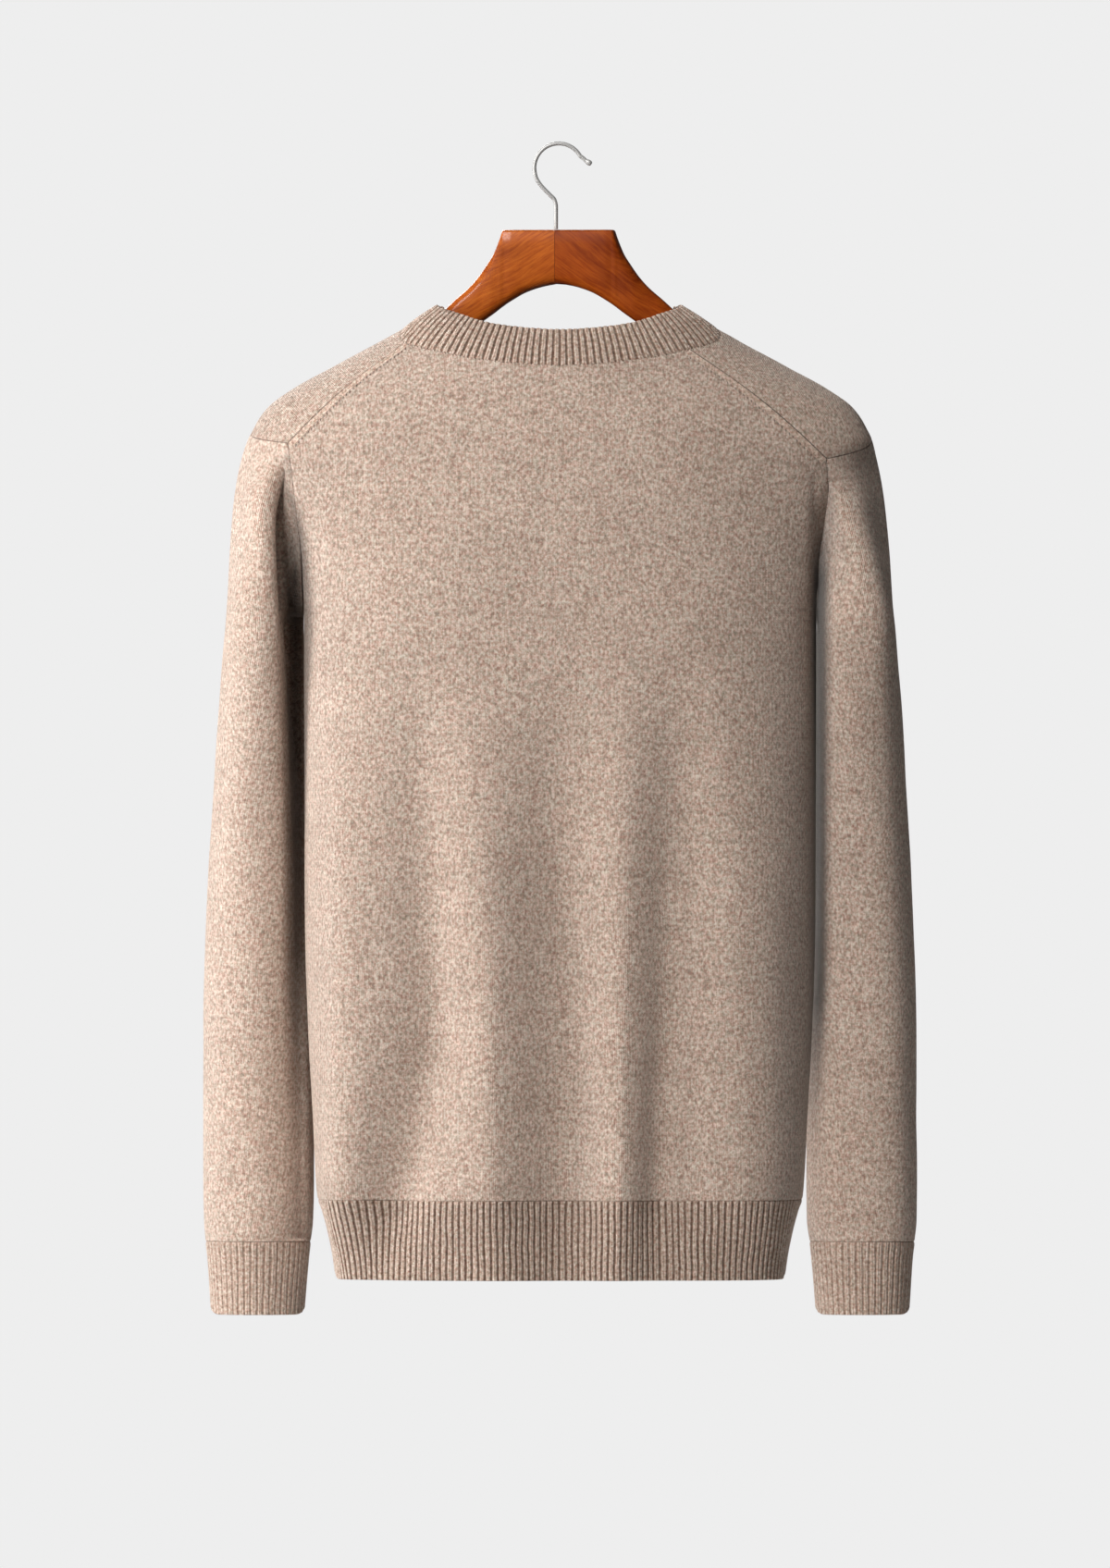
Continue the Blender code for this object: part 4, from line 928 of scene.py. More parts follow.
def build_front():
    vs = np.concatenate([steps(128, 420.0, (True, False)), [1 + x for x in steps(9, 30.0, (False, False))[1:]],
                         2 + 11.0 * steps(78, 250.0, (False, True))[1:]])
    split_row = int(np.argmin(np.abs(vs - 2.0)))        # rows up to here share the centre line
    ks = steps(62, 190.0, (True, True))
    ks_low = ks
    outs, ins, uvs, quads = [], [], [], []
    rows, cols = len(vs), len(ks_low)
    base = 0
    first_ids = None
    for side in (+1, -1):
        p = body_point(side, *front_place(side, ks_low[None, :], vs[:, None]))
        n = grid_normals(p, False) * side
        if side == 1:
            report_flat("front_panel half", p, False)
        across, along = lengths(p, 1), lengths(p, 0)
        open_neck = np.where(np.arange(rows) > split_row, 1.0, 0.0)[:, None]
        d_mid = np.where(open_neck > 0, across, 99.0)
        d_side = np.minimum(d_mid, across[:, -1:] - across)
        d_end = np.minimum(along, along[-1:] - along)
        inset = np.maximum(edge_inset(d_side, EDGE_ROUND), edge_inset(d_end, EDGE_ROUND))
        lift = small_relief(p, 23) * smoothstep(0.0, 12.0, np.minimum(d_side, d_end))
        outer = p + n * (lift - inset)[..., None]
        inner = p + n * (np.minimum(lift, 0.2) - KNIT_WALL)[..., None]
        uv = stitch_uv(p, 0)
        uv[..., 0] *= side
        ids = np.arange(rows * cols).reshape(rows, cols) + base
        if side == -1:
            ids[:split_row + 1, 0] = first_ids[:split_row + 1, 0]
        else:
            first_ids = ids
        r, c = np.meshgrid(np.arange(rows - 1), np.arange(cols - 1), indexing="ij")
        q = np.stack([ids[r, c], ids[r, c + 1], ids[r + 1, c + 1], ids[r + 1, c]], -1).reshape(-1, 4)
        cu = corner_values(uv, rows, cols, False)
        if side == -1:
            q, cu = q[:, ::-1], cu[:, ::-1]
        outs.append(outer.reshape(-1, 3))
        ins.append(inner.reshape(-1, 3))
        quads.append(q)
        uvs.append(cu)
        base += rows * cols
    # the centre line is shared: the unused copies are dropped
    q = np.concatenate(quads)
    outer, inner = np.concatenate(outs), np.concatenate(ins)
    used = np.unique(q)
    remap = np.full(len(outer), -1)
    remap[used] = np.arange(len(used))
    return close_wall("front_panel_knit", remap[q], np.concatenate(uvs), outer[used], inner[used], (PLAIN, PURL))


def sleeve_wrinkle(side, phi, z):
    """Soft troughs of the sleeves, in mm: (phi, z, half width in degrees, half length, rise, tilt)."""
    total = np.zeros(np.broadcast(phi, z).shape)
    table = SLEEVE_FOLDS[side]
    for f_phi, f_z, wide, long, rise, tilt in table:
        centre = f_phi + tilt * (z - f_z) / long
        d = (phi - centre + 180.0) % 360.0 - 180.0
        total = total + rise * np.exp(-(d / wide) ** 2) * np.exp(-((z - f_z) / long) ** 2)
    return total


SLEEVE_FOLDS = {
    +1: ((100.0, -470.0, 26.0, 70.0, -1.6, 8.0), (60.0, -520.0, 24.0, 110.0, 1.0, -6.0),
         (120.0, -640.0, 26.0, 90.0, -1.4, 6.0), (-70.0, -450.0, 24.0, 60.0, -2.2, -14.0),
         (-100.0, -520.0, 26.0, 60.0, -1.8, 12.0), (-60.0, -640.0, 30.0, 90.0, -1.5, 8.0),
         (20.0, -600.0, 30.0, 120.0, 0.7, 0.0)),
    -1: ((72.0, -410.0, 22.0, 62.0, -2.0, 10.0), (110.0, -560.0, 26.0, 90.0, -1.5, -6.0),
         (60.0, -650.0, 26.0, 110.0, 0.9, 5.0), (-80.0, -470.0, 24.0, 60.0, -2.0, 12.0),
         (-100.0, -560.0, 26.0, 70.0, -1.8, -10.0), (-55.0, -680.0, 30.0, 80.0, -1.3, -6.0)),
}


def build_sleeve(name, side):
    cols = 120
    phi = 180.0 - 360.0 * np.arange(cols) / cols
    fan = steps(30, 100.0, (True, False))
    low = steps(136, 438.0, (False, True))[1:]
    top = sleeve_fan(side, np.broadcast_to(phi, (len(fan), cols)).copy(), np.broadcast_to(fan[:, None], (len(fan), cols)))
    z = np.broadcast_to(mix(Z_SLEEVE_TOP, Z_CUFF_SEAM, low)[:, None], (len(low), cols))
    down = sleeve_section(side, np.broadcast_to(phi, z.shape), z)
    # the armhole's corner at the diagonal seam fades out within the cap
    soft = top.copy()
    for _ in range(40):
        soft = (np.roll(soft, 1, 1) + 2 * soft + np.roll(soft, -1, 1)) / 4
    share = (smoothstep(0.03, 0.28, fan) * (1.0 - smoothstep(0.7, 1.0, fan)))[:, None] * (smoothstep(10.0, 30.0, phi) * (1.0 - smoothstep(100.0, 126.0, phi)))[None, :]
    top = mix(top, soft, share[..., None])
    p = np.concatenate([top, down])
    sunk = seam_valley(side, armhole_at(side, phi)[1]) * (phi > 52.0)
    p = p - points(0.0, sunk[None, :] * np.exp(-(lengths(p, 0) / 5.0) ** 2), 0.0)
    report_flat(name, p, True)
    n = grid_normals(p, True)
    centre = p.mean(axis=1, keepdims=True)
    if ((p - centre) * n).sum(-1)[len(fan) + 20:].mean() < 0:
        n = -n
        flip = True
    else:
        flip = False
    # the cut edge keeps to its own side of the armhole seam
    _, _, out = armhole_frame(side, phi)
    near = (1.0 - smoothstep(0.0, 0.05, fan))[:, None, None]
    n_top = n[:len(fan)]
    over = np.maximum(0.0, dot(n_top, np.broadcast_to(out, n_top.shape)))
    n[:len(fan)] = unit(n_top - near * over * out)
    along = lengths(p, 0)
    d_end = np.minimum(along, along[-1:] - along)
    inset = edge_inset(d_end, EDGE_ROUND)
    pp, zz = np.broadcast_to(phi, p.shape[:2]), p[..., 2]
    keep = smoothstep(0.0, 14.0, d_end)
    cap = (3.0 if side > 0 else 5.0) * np.exp(-((pp - 46.0) / 26.0) ** 2) * smoothstep(228.0, 262.0, -zz) * (1.0 - smoothstep(330.0, 430.0, -zz))
    lift = (small_relief(p, 31 + side) + sleeve_wrinkle(side, pp, zz) + cap) * keep
    lift = np.where(np.abs(pp) > 128.0, np.minimum(lift, 0.3), lift)    # it lies close to the body there
    if side > 0:
        lift = lift + sleeve_crease(pp, p) * smoothstep(0.3, 2.6, d_end)
    rows = p.shape[0]
    outer = (p + n * (lift - inset)[..., None]).reshape(-1, 3)
    inner = (p + n * (lift - KNIT_WALL)[..., None]).reshape(-1, 3)
    uv = stitch_uv(np.concatenate([p, p[:, :1]], 1), 60)
    uv[..., 1] -= uv[-1:, :, 1]                         # the courses run level at the cuff
    q = grid_quads(rows, cols, True, flip=flip)
    return close_wall(name + "_knit", q, corner_values(uv, rows, cols, True, flip=flip), outer, inner, (PLAIN, PURL))


# the crease where the left sleeve sinks beside the body: height, x of its bottom, depth, how
# far the sleeve swells beside it, and the width of its outer side
CREASE_COLUMNS = ("z", "x", "depth", "lip", "wide")
CREASE = (
    (-222.0, 201.0, 0.0, 0.0, 5.0),
    (-235.0, 199.5, 6.0, 2.0, 5.0),
    (-248.0, 197.5, 13.0, 4.0, 6.5),
    (-261.0, 195.3, 18.0, 5.0, 8.0),
    (-275.0, 193.2, 20.0, 5.0, 9.0),
    (-288.0, 191.2, 20.0, 4.5, 10.0),
    (-301.0, 189.2, 20.0, 3.5, 11.0),
    (-315.0, 187.8, 19.0, 2.5, 12.0),
    (-328.0, 187.0, 17.0, 1.5, 12.0),
    (-345.0, 186.4, 14.0, 0.5, 11.6),
    (-400.0, 185.5, 10.5, 0.0, 11.5),
    (-480.0, 185.0, 7.0, 0.0, 11.5),
    (-600.0, 184.5, 4.5, 0.0, 11.5),
    (-780.0, 184.0, 3.0, 0.0, 11.5),
)
crease_of = columns(CREASE, CREASE_COLUMNS)


def sleeve_crease(phi, p):
    x, z = p[..., 0], p[..., 2]
    zc = np.clip(z, -780.0, -222.0)
    off = x - crease_of["x"](zc)
    wide = np.where(off > 0.0, crease_of["wide"](zc), 3.4)
    sink = crease_of["depth"](zc) * np.exp(-(off / wide) ** 2)
    swell = crease_of["lip"](zc) * np.exp(-((off - 19.0) / 9.5) ** 2)
    behind = smoothstep(14.0, 34.0, phi) * smoothstep(-222.0, -228.0, z)
    return (swell - sink) * behind


# ------------------------------------------------------------------ ribbed bands
RIB_STEPS = (-0.5, -0.36, -0.18, 0.0, 0.18, 0.36)      # columns of one ridge


def ridge(s, depth):
    """Height of the outer face across one ridge, s from -0.5 to 0.5."""
    x = np.minimum(np.abs(2 * s), 0.985)
    return 0.22 - depth * (1.0 - np.sqrt(1.0 - x * x)) / 0.83


def rib_columns(length, closed):
    ribs = int(round(length / RIB_PITCH))
    s = np.tile(np.array(RIB_STEPS), ribs)
    j = np.repeat(np.arange(ribs), len(RIB_STEPS))
    place = (j + 0.5 + s) / ribs
    if not closed:
        s, place, j = np.append(s, 0.5), np.append(place, 1.0), np.append(j, ribs - 1)
    return ribs, s, place, j


def build_ribbed(name, surface, closed, length, seed, depth=RIB_DEPTH, top_soft=2.6, middle=None, mat=None):
    """surface(f, h) gives points for f 0..1 round or across, h 0 at the seam to 1 at the
    open edge. length is the band's height. The normal turns away from middle (x, y)."""
    f = np.linspace(0, 1, 1600)
    line = surface(f[None, :], np.full((1, 1600), 0.5))[0]
    run = np.concatenate([[0.0], np.cumsum(np.linalg.norm(np.diff(line, axis=0), axis=1))])
    ribs, s, place, j = rib_columns(run[-1], closed)
    cols = len(s)
    rows_between = max(4, int(round(length / (COURSE * 0.5))))
    hs = steps(rows_between, length, (True, True))
    rows = len(hs)
    # ridges wander a little, and differ a little in width
    mm_c, mm_r = place * run[-1], hs * length
    cyc = place * 97.0 if closed else mm_c / 9.0
    wander = 0.42 * soft_noise(seed, np.broadcast_to(cyc, (rows, cols)), np.broadcast_to((mm_r / 16.0)[:, None], (rows, cols)))
    wander = wander + 0.16 * soft_noise(seed + 5, np.broadcast_to(mm_c / 3.1, (rows, cols)), np.broadcast_to((mm_r / 4.0)[:, None], (rows, cols)))
    if closed:
        wander = wander * np.minimum(1.0, np.minimum(mm_c, run[-1] - mm_c) / 8.0)
    else:
        wander = wander * smoothstep(0.0, 6.0, np.minimum(mm_c, run[-1] - mm_c))
    reach = np.clip(place[None, :] * run[-1] + wander, 0.0, run[-1])
    ff = np.interp(reach, run, f)
    hh = np.broadcast_to(hs[:, None], (rows, cols))
    p = surface(ff, hh)
    dh = 0.03
    ta = surface(np.clip(ff + 0.0012, 0, 1 if not closed else 2), hh) - surface(ff - 0.0012 if closed else np.clip(ff - 0.0012, 0, 1), hh)
    th = surface(ff, np.minimum(1.0, hh + dh)) - surface(ff, np.maximum(0.0, hh - dh))
    n = unit(np.cross(ta, th))
    centre = p.mean(axis=1, keepdims=True) if middle is None else np.array((*middle, 0.0))
    away = (p - centre) * np.array((1.0, 1.0, 0.0))
    sign = 1 if (away * n).sum() > 0 else -1
    n = n * sign
    d_top, d_low = hs * length, (1 - hs) * length
    start = smoothstep(0.2, top_soft, d_top)[:, None]
    course = (hs * length / COURSE)[:, None]
    rope = 0.20 * np.sin(2 * math.pi * (course + 0.31 * j[None, :])) * (1 - (2 * s[None, :]) ** 2)
    uneven = 1.0 + 0.18 * soft_noise(seed + 9, np.broadcast_to(j / 1.0, (rows, cols)), np.broadcast_to((mm_r / 11.0)[:, None], (rows, cols)))
    high = mix(-0.25, ridge(s, depth)[None, :] * uneven, start) + rope * start
    high = high - edge_inset(d_top, 0.5)[:, None] - edge_inset(d_low, 1.05)[:, None]
    outer = (p + n * high[..., None]).reshape(-1, 3)
    # inside, ridges and grooves change places
    pick = np.unique(np.concatenate([[0, 1, 2, 3], np.linspace(4, rows - 5, 9).astype(int), [rows - 4, rows - 3, rows - 2, rows - 1]]))
    inner_h = -RIB_WALL + 0.85 * np.sqrt(np.clip(1 - (2 * s) ** 2, 0, 1))[None, :] * start[pick] + edge_inset(d_low[pick], 0.9)[:, None]
    inner = (p[pick] + n[pick] * inner_h[..., None]).reshape(-1, 3)
    m, no = len(pick), len(outer)
    flip = sign > 0
    q1 = grid_quads(rows, cols, closed, 0, flip=not flip)
    q2 = grid_quads(m, cols, closed, no, flip=flip)
    uu = j + 0.5 + s
    if closed:
        uu = np.append(uu, ribs + 0.5 + RIB_STEPS[0])
    uv = np.stack(np.broadcast_arrays(uu[None, :], (hs * length / COURSE)[:, None]), -1)
    faces = [q1, q2]
    uvs = [corner_values(uv, rows, cols, closed, flip=not flip), corner_values(uv[pick], m, cols, closed, flip=flip)]
    # both ends, as strips; fix_normals turns them to match
    c = np.arange(cols if closed else cols - 1)
    c2 = (c + 1) % cols
    for orow, irow in ((0, 0), (rows - 1, m - 1)):
        a, b = orow * cols + c, orow * cols + c2
        faces.append(np.stack([a, b, no + irow * cols + c2, no + irow * cols + c], -1))
        ua, ub = uv[orow, :len(c)], uv[orow, 1:len(c) + 1]
        uvs.append(np.stack([ua, ub, ub, ua], 1))
    ob_verts = np.concatenate([outer, inner])
    if not closed:                                       # the two short ends, one face each
        caps = []
        for col, turn in ((0, False), (cols - 1, True)):
            loop = [r * cols + col for r in range(rows)] + [no + r * cols + col for r in reversed(range(m))]
            caps.append(loop[::-1] if turn else loop)
        for loop in caps:
            faces.append(np.array([loop]))
            uvs.append(np.zeros((1, len(loop), 2)) + np.array([0.5, 1.0]))
    report_flat(name, p, closed)
    ob = new_object(name, ob_verts, faces, uvs, (mat or RIB,))
    return ob, ribs


def fix_normals(ob):
    """Turns every face outwards."""
    import bmesh
    bm = bmesh.new()
    bm.from_mesh(ob.data)
    bmesh.ops.recalc_face_normals(bm, faces=bm.faces)
    bm.to_mesh(ob.data)
    bm.free()


def hem_surface(sign):
    """f 0 at the -X side to 1 at the +X side. The ribs stand upright, except beside the ends."""
    top = Z_HEM_TOP - SEAM_GAP
    edge = 0.15 / float(ring_of["b"](top))
    w_top, p_top = float(ring_of["w"](top)), float(ring_of["p"](top))

    def at(f, h):
        f, h = np.broadcast_arrays(np.asarray(f, float), np.asarray(h, float))
        u = 2.0 * f - 1.0
        x0 = w_top * squircle(math.pi / 2 + (edge - math.pi / 2) * np.abs(u), p_top)[0]
        x0 = np.minimum(x0, w_top * (1.0 - 1e-7))
        z = mix(top, Z_HEM_LOW + edge_inset(w_top - x0, 5.5), h)
        x = x0 * (1.0 - (1.0 - ring_of["w"](z) / w_top) * (x0 / w_top) ** 6)
        a = sign * angle_at(x, z)
        left, right = body_point(+1, a, z), body_point(-1, a, z)
        return np.where((u >= 0)[..., None], left, right)
    return at


def cuff_surface(side):
    def at(f, h):
        f, h = np.broadcast_arrays(np.asarray(f, float), np.asarray(h, float))
        phi = wrap_deg(180.0 - 360.0 * np.mod(f, 1.0))
        turned = (1.0 - np.abs(squircle(np.radians(phi), 2.2)[0])) * 34.0
        low = Z_CUFF_LOW + 2.0 + edge_inset(turned, 4.8)
        return sleeve_section(side, phi, mix(Z_CUFF_SEAM - SEAM_GAP, low, h))
    return at


def neck_surface(f, h):
    f, h = np.broadcast_arrays(np.asarray(f, float), np.asarray(h, float))
    return band_surface(2.0 * f, h)


# ------------------------------------------------------------------ seams and stitches
def bead_chain(name, centres, along, normal, size, mat, seed, facets=(8, 6)):
    """One joined mesh of small rounded loops: size is (half length, half width, half height)."""
    import bmesh
    bm = bmesh.new()
    bmesh.ops.create_uvsphere(bm, u_segments=facets[0], v_segments=facets[1], radius=1.0)
    verts = np.array([v.co[:] for v in bm.verts])
    quads = [[v.index for v in f.verts] for f in bm.faces]
    bm.free()
    rng = np.random.default_rng(seed)
    out_v, out_f = [], []
    for k in range(len(centres)):
        t, n = along[k], normal[k]
        b = np.cross(n, t)
        s = np.array(size) * rng.uniform(0.88, 1.12, 3)
        out_v.append(centres[k] + verts[:, :1] * s[0] * t + verts[:, 1:2] * s[1] * b + verts[:, 2:] * s[2] * n)
        out_f += [[i + k * len(verts) for i in f] for f in quads]
    me = bpy.data.meshes.new(name)
    me.from_pydata((np.concatenate(out_v) * MM).tolist(), [], out_f)
    layer = me.uv_layers.new(name="knit")
    loops = np.zeros(len(me.loops), np.int32)
    me.loops.foreach_get("vertex_index", loops)
    co = np.concatenate(out_v)[loops]
    layer.data.foreach_set("uv", np.stack([co[:, 0] / WALE, co[:, 2] / COURSE], -1).reshape(-1).astype(np.float32))
    me.materials.append(mat)
    me.shade_smooth()
    ob = bpy.data.objects.new(name, me)
    bpy.context.scene.collection.objects.link(ob)
    return ob


def neck_linking():
    """The row of linking stitches where the neckband joins the panels."""
    f = np.linspace(0, 2, 1601)
    line = band_surface(f, np.zeros_like(f))
    run = np.concatenate([[0.0], np.cumsum(np.linalg.norm(np.diff(line, axis=0), axis=1))])
    count = int(run[-1] / 2.9)
    tau = np.interp((np.arange(count) + 0.5) / count * run[-1], run, f)
    tau = tau[np.abs(tau - 1.0) > 0.006]
    c = band_surface(tau, np.zeros_like(tau))
    ahead = unit(band_surface(tau + 0.002, np.zeros_like(tau)) - band_surface(tau - 0.002, np.zeros_like(tau)))
    rise = unit(band_surface(tau, np.full_like(tau, 0.05)) - c)
    n = unit(np.cross(ahead, rise))
    mid = c.mean(axis=0)
    n = np.where(((c - mid) * n).sum(-1, keepdims=True) < 0, -n, n)
    return bead_chain("neck_linking", c - n * 0.55 - rise * 0.35, unit(ahead + 0.35 * rise), n, (1.55, 0.62, 0.62), PLAIN, 5)


def seam_loops(name, line, seed, deep=1.05, mat=None):
    """Linking loops down in a seam. line(t) gives the seam's points and the outward normal."""
    f = np.linspace(0.0, 1.0, 801)
    p, _ = line(f)
    run = np.concatenate([[0.0], np.cumsum(np.linalg.norm(np.diff(p, axis=0), axis=1))])
    count = int(run[-1] / 1.72)
    t = np.interp((np.arange(count) + 0.5) / count * run[-1], run, f)
    c, n = line(t)
    ahead = unit(line(np.clip(t + 0.002, 0, 1))[0] - line(np.clip(t - 0.002, 0, 1))[0])
    across = np.cross(n, ahead)
    return bead_chain(name, c - n * deep, unit(ahead + 0.45 * across), n, (1.12, 0.46, 0.46), mat or SEAM, seed, (6, 4))


def diagonal_line(side):
    def at(t):
        a, z = diagonal_seam(side, t)
        n = body_normal(side, a, z)
        return body_point(side, a + 0.0003, z), n
    return at


def armhole_line(side):
    def at(t):
        phi = mix(180.0, -180.0, t)
        here, n, out = armhole_frame(side, phi)
        sunk = seam_valley(side, armhole_at(side, phi)[1]) * (phi > 52.0)
        return here + out * SEAM_GAP * 0.55 - points(0.0, sunk, 0.0), n
    return at


def hem_line(t):
    a = 2 * math.pi * t
    z = np.full_like(a, Z_HEM_TOP - SEAM_GAP * 0.5)
    right = np.cos(a) < 0
    fold = np.arctan2(np.sin(a), np.abs(np.cos(a)))
    p = np.where(right[:, None], body_point(-1, fold, z), body_point(+1, fold, z))
    n = np.where(right[:, None], body_normal(-1, fold, z), body_normal(+1, fold, z))
    return p, n


def cuff_line(side):
    def at(t):
        phi = wrap_deg(180.0 - 360.0 * t)
        z = np.full_like(phi, Z_CUFF_SEAM - SEAM_GAP * 0.5)
        p = sleeve_section(side, phi, z)
        d = sleeve_section(side, wrap_deg(phi + 1.0), z) - sleeve_section(side, wrap_deg(phi - 1.0), z)
        n = unit(np.cross(d, np.array((0.0, 0.0, 1.0))))
        mid = p.mean(axis=0)
        return p, np.where(((p - mid) * n).sum(-1, keepdims=True) < 0, -n, n)
    return at


def beside_seam(side, t, inward):
    """Points of the back panel, inward mm from the diagonal seam, with their directions."""
    a, z = diagonal_seam(side, t)
    seam, n = body_point(side, a, z), body_normal(side, a, z)
    ahead = unit(np.gradient(seam, axis=0))
    into = np.cross(n, ahead)
    into = into * np.where(into[:, 0:1] * side > 0, -1.0, 1.0)
    place = seam + into * np.asarray(inward, float)[..., None]
    a2 = angle_at((place[:, 0] - BODY_X) * side, place[:, 2])
    return body_point(side, a2, place[:, 2]), ahead, into, body_normal(side, a2, place[:, 2])


def narrowing_marks(side):
    """Fully fashioned marks: short slanted loops inside the edge wales."""
    t = np.linspace(0.03, 0.97, 34)
    c, ahead, into, n = beside_seam(side, t, 6.4 + 0.0 * t)
    # the loops use the yarn darkened as painted shade
    return bead_chain("narrowing_marks_" + ("left" if side > 0 else "right"), c + n * (0.06 if side > 0 else 0.16),
                      unit(ahead + 0.9 * into), n, (1.15, 0.50, 0.42), LOOPS_IN_PAINTED_SHADE, 40 + side)


def edge_wales(side):
    """Two wales of plain stitches that run along the diagonal seam, each loop with two legs."""
    count = 94
    t = (np.arange(count) + 0.5) / count
    centres, along, normals = [], [], []
    for wale in (1.75, 4.15):
        for leg in (-1.0, 1.0):
            c, ahead, into, n = beside_seam(side, t, wale + 0.56 * leg + 0.0 * t)
            centres.append(c - n * 0.06)
            along.append(unit(ahead - leg * 0.55 * into))
            normals.append(n)
    return bead_chain("edge_wales_" + ("left" if side > 0 else "right"), np.concatenate(centres), np.concatenate(along),
                      np.concatenate(normals), (1.30, 0.56, 0.46), WELT, 50 + side, (6, 4))


# ------------------------------------------------------------------ hanger and hook
def beam_outline(half_t, top, low, ry, r_top, r_low):
    """(y, z) round a beam's section, its four corners rounded and its two faces crowned."""
    out = []
    mid, half = (top + low) / 2, (top - low) / 2
    for sy, sz, start in ((1, 1, 90.0), (1, -1, 0.0), (-1, -1, -90.0), (-1, 1, -180.0)):
        rz = r_top if sz > 0 else r_low
        for k in range(7):
            t = math.radians(start - 90.0 * k / 6.0)
            out.append((sy * (half_t - ry) + ry * math.cos(t), (top - rz if sz > 0 else low + rz) + rz * math.sin(t)))
        if sz * sy > 0:                                  # down the front face, then up the back one
            for share in (0.25, 0.5, 0.75):
                za, zb = out[-1][1], (low + r_low if sz > 0 else top - r_top)
                out.append((sy * half_t, mix(za, zb, share)))
    out = np.array(out)
    out[:, 0] *= 1.0 + 0.10 * (1.0 - ((out[:, 1] - mid) / half) ** 2)
    return out


def build_hanger_half(name, side, mat):
    """A beam of rounded rings along the arm."""
    yaw = math.radians(HANGER_YAW)
    first = HANGER_SPLIT + 0.10 if side > 0 else -(HANGER_SPLIT - 0.10)
    xs = np.concatenate([[first], np.linspace(4.5, 38.0, 20), np.linspace(38.0, 50.0, 40)[1:], np.linspace(50.0, 183.0, 90)[1:]])
    rings = []
    for ax in xs:
        x = side * ax
        top, low = float(hanger_of["top"](abs(ax))), float(hanger_of["low"](abs(ax)))
        y = float(hanger_of["y"](abs(ax)))
        y += math.copysign(max(0.0, abs(ax) - 55.0), x) * math.tan(math.radians(HANGER_STRAIGHTEN))
        ht = float(hanger_of["t"](abs(ax)))
        step = 1.5
        s_top = float(hanger_of["top"](abs(ax) + step) - hanger_of["top"](max(0.0, abs(ax) - step))) / (2 * step)
        s_low = float(hanger_of["low"](abs(ax) + step) - hanger_of["low"](max(0.0, abs(ax) - step))) / (2 * step)
        room = 0.40 * (top - low)
        r_top = min(room, mix(1.8, 4.9, float(smoothstep(41.0, 50.0, abs(ax)))) * math.hypot(1.0, s_top))
        r_low = min(room, 5.0 * math.hypot(1.0, s_low))
        ring = beam_outline(ht, top, low, min(4.6, 0.6 * ht), r_top, r_low)
        px, py, pz = x, y + ring[:, 0], ring[:, 1]
        rings.append(points(px * math.cos(yaw) - py * math.sin(yaw), px * math.sin(yaw) + py * math.cos(yaw), pz))
    p = np.array(rings)
    rows, m = p.shape[:2]
    # the grain runs straight down each arm
    lean = math.radians(33.0)
    flat = p.reshape(-1, 3)
    gu = flat[:, 0] * side * math.cos(lean) - flat[:, 2] * math.sin(lean)
    gv = flat[:, 0] * side * math.sin(lean) + flat[:, 2] * math.cos(lean) + 0.9 * flat[:, 1] + 300.0 * (side < 0)
    uv = (np.stack([gu, gv], -1) * MM).reshape(rows, m, 2)
    uv = np.concatenate([uv, uv[:, :1]], 1)
    q = grid_quads(rows, m, True)
    faces = [q, np.array([list(range(m))[::-1]]), np.array([[(rows - 1) * m + k for k in range(m)]])]
    uvs = [corner_values(uv, rows, m, True), uv[0, list(range(m))[::-1]][None], uv[-1, :m][None]]
    ob = new_object(name, flat, faces, uvs, (mat,))
    fix_normals(ob)
    ob.data.set_sharp_from_angle(angle=math.radians(50))
    return ob


def build_hook(mat):
    cx, cz, r = HOOK_CIRCLE
    a0, a1, _ = HOOK_ARC_DEG
    path = [(x, z, 1.0) for x, z in HOOK_STEM]
    for k in range(40):
        t = math.radians(mix(a0, a1, k / 39.0))
        path.append((cx + r * math.cos(t), cz + r * math.sin(t), 1.0))
    path += list(HOOK_END)
    path = np.array(path)
    s = np.concatenate([[0.0], np.cumsum(np.hypot(*np.diff(path[:, :2], axis=0).T))])
    dense = np.linspace(0.0, s[-1], 260)
    cxs, czs, crs = Curve(list(zip(s, path[:, 0]))), Curve(list(zip(s, path[:, 1]))), Curve(list(zip(s, path[:, 2])))
    x, z, rad = cxs(dense), czs(dense), crs(dense) * WIRE
    # a light smoothing keeps the bends free of corners
    for _ in range(2):
        x[1:-1] = (x[:-2] + 2 * x[1:-1] + x[2:]) / 4
        z[1:-1] = (z[:-2] + 2 * z[1:-1] + z[2:]) / 4
    tx, tz = np.gradient(x), np.gradient(z)
    ln = np.hypot(tx, tz)
    tx, tz = tx / ln, tz / ln
    m = 20
    ang = 2 * math.pi * np.arange(m) / m
    p = points(x[:, None] + rad[:, None] * np.cos(ang) * tz[:, None], rad[:, None] * np.sin(ang) + 0 * x[:, None],
               z[:, None] - rad[:, None] * np.cos(ang) * tx[:, None])
    rows = len(p)
    uv = np.zeros((rows, m + 1, 2))
    q = grid_quads(rows, m, True)
    ends = [np.array([list(range(m))[::-1]]), np.array([[(rows - 1) * m + k for k in range(m)]])]
    ob = new_object("hook_wire", p.reshape(-1, 3), [q] + ends, [corner_values(uv, rows, m, True), np.zeros((1, m, 2)), np.zeros((1, m, 2))], (mat,))
    fix_normals(ob)
    return ob


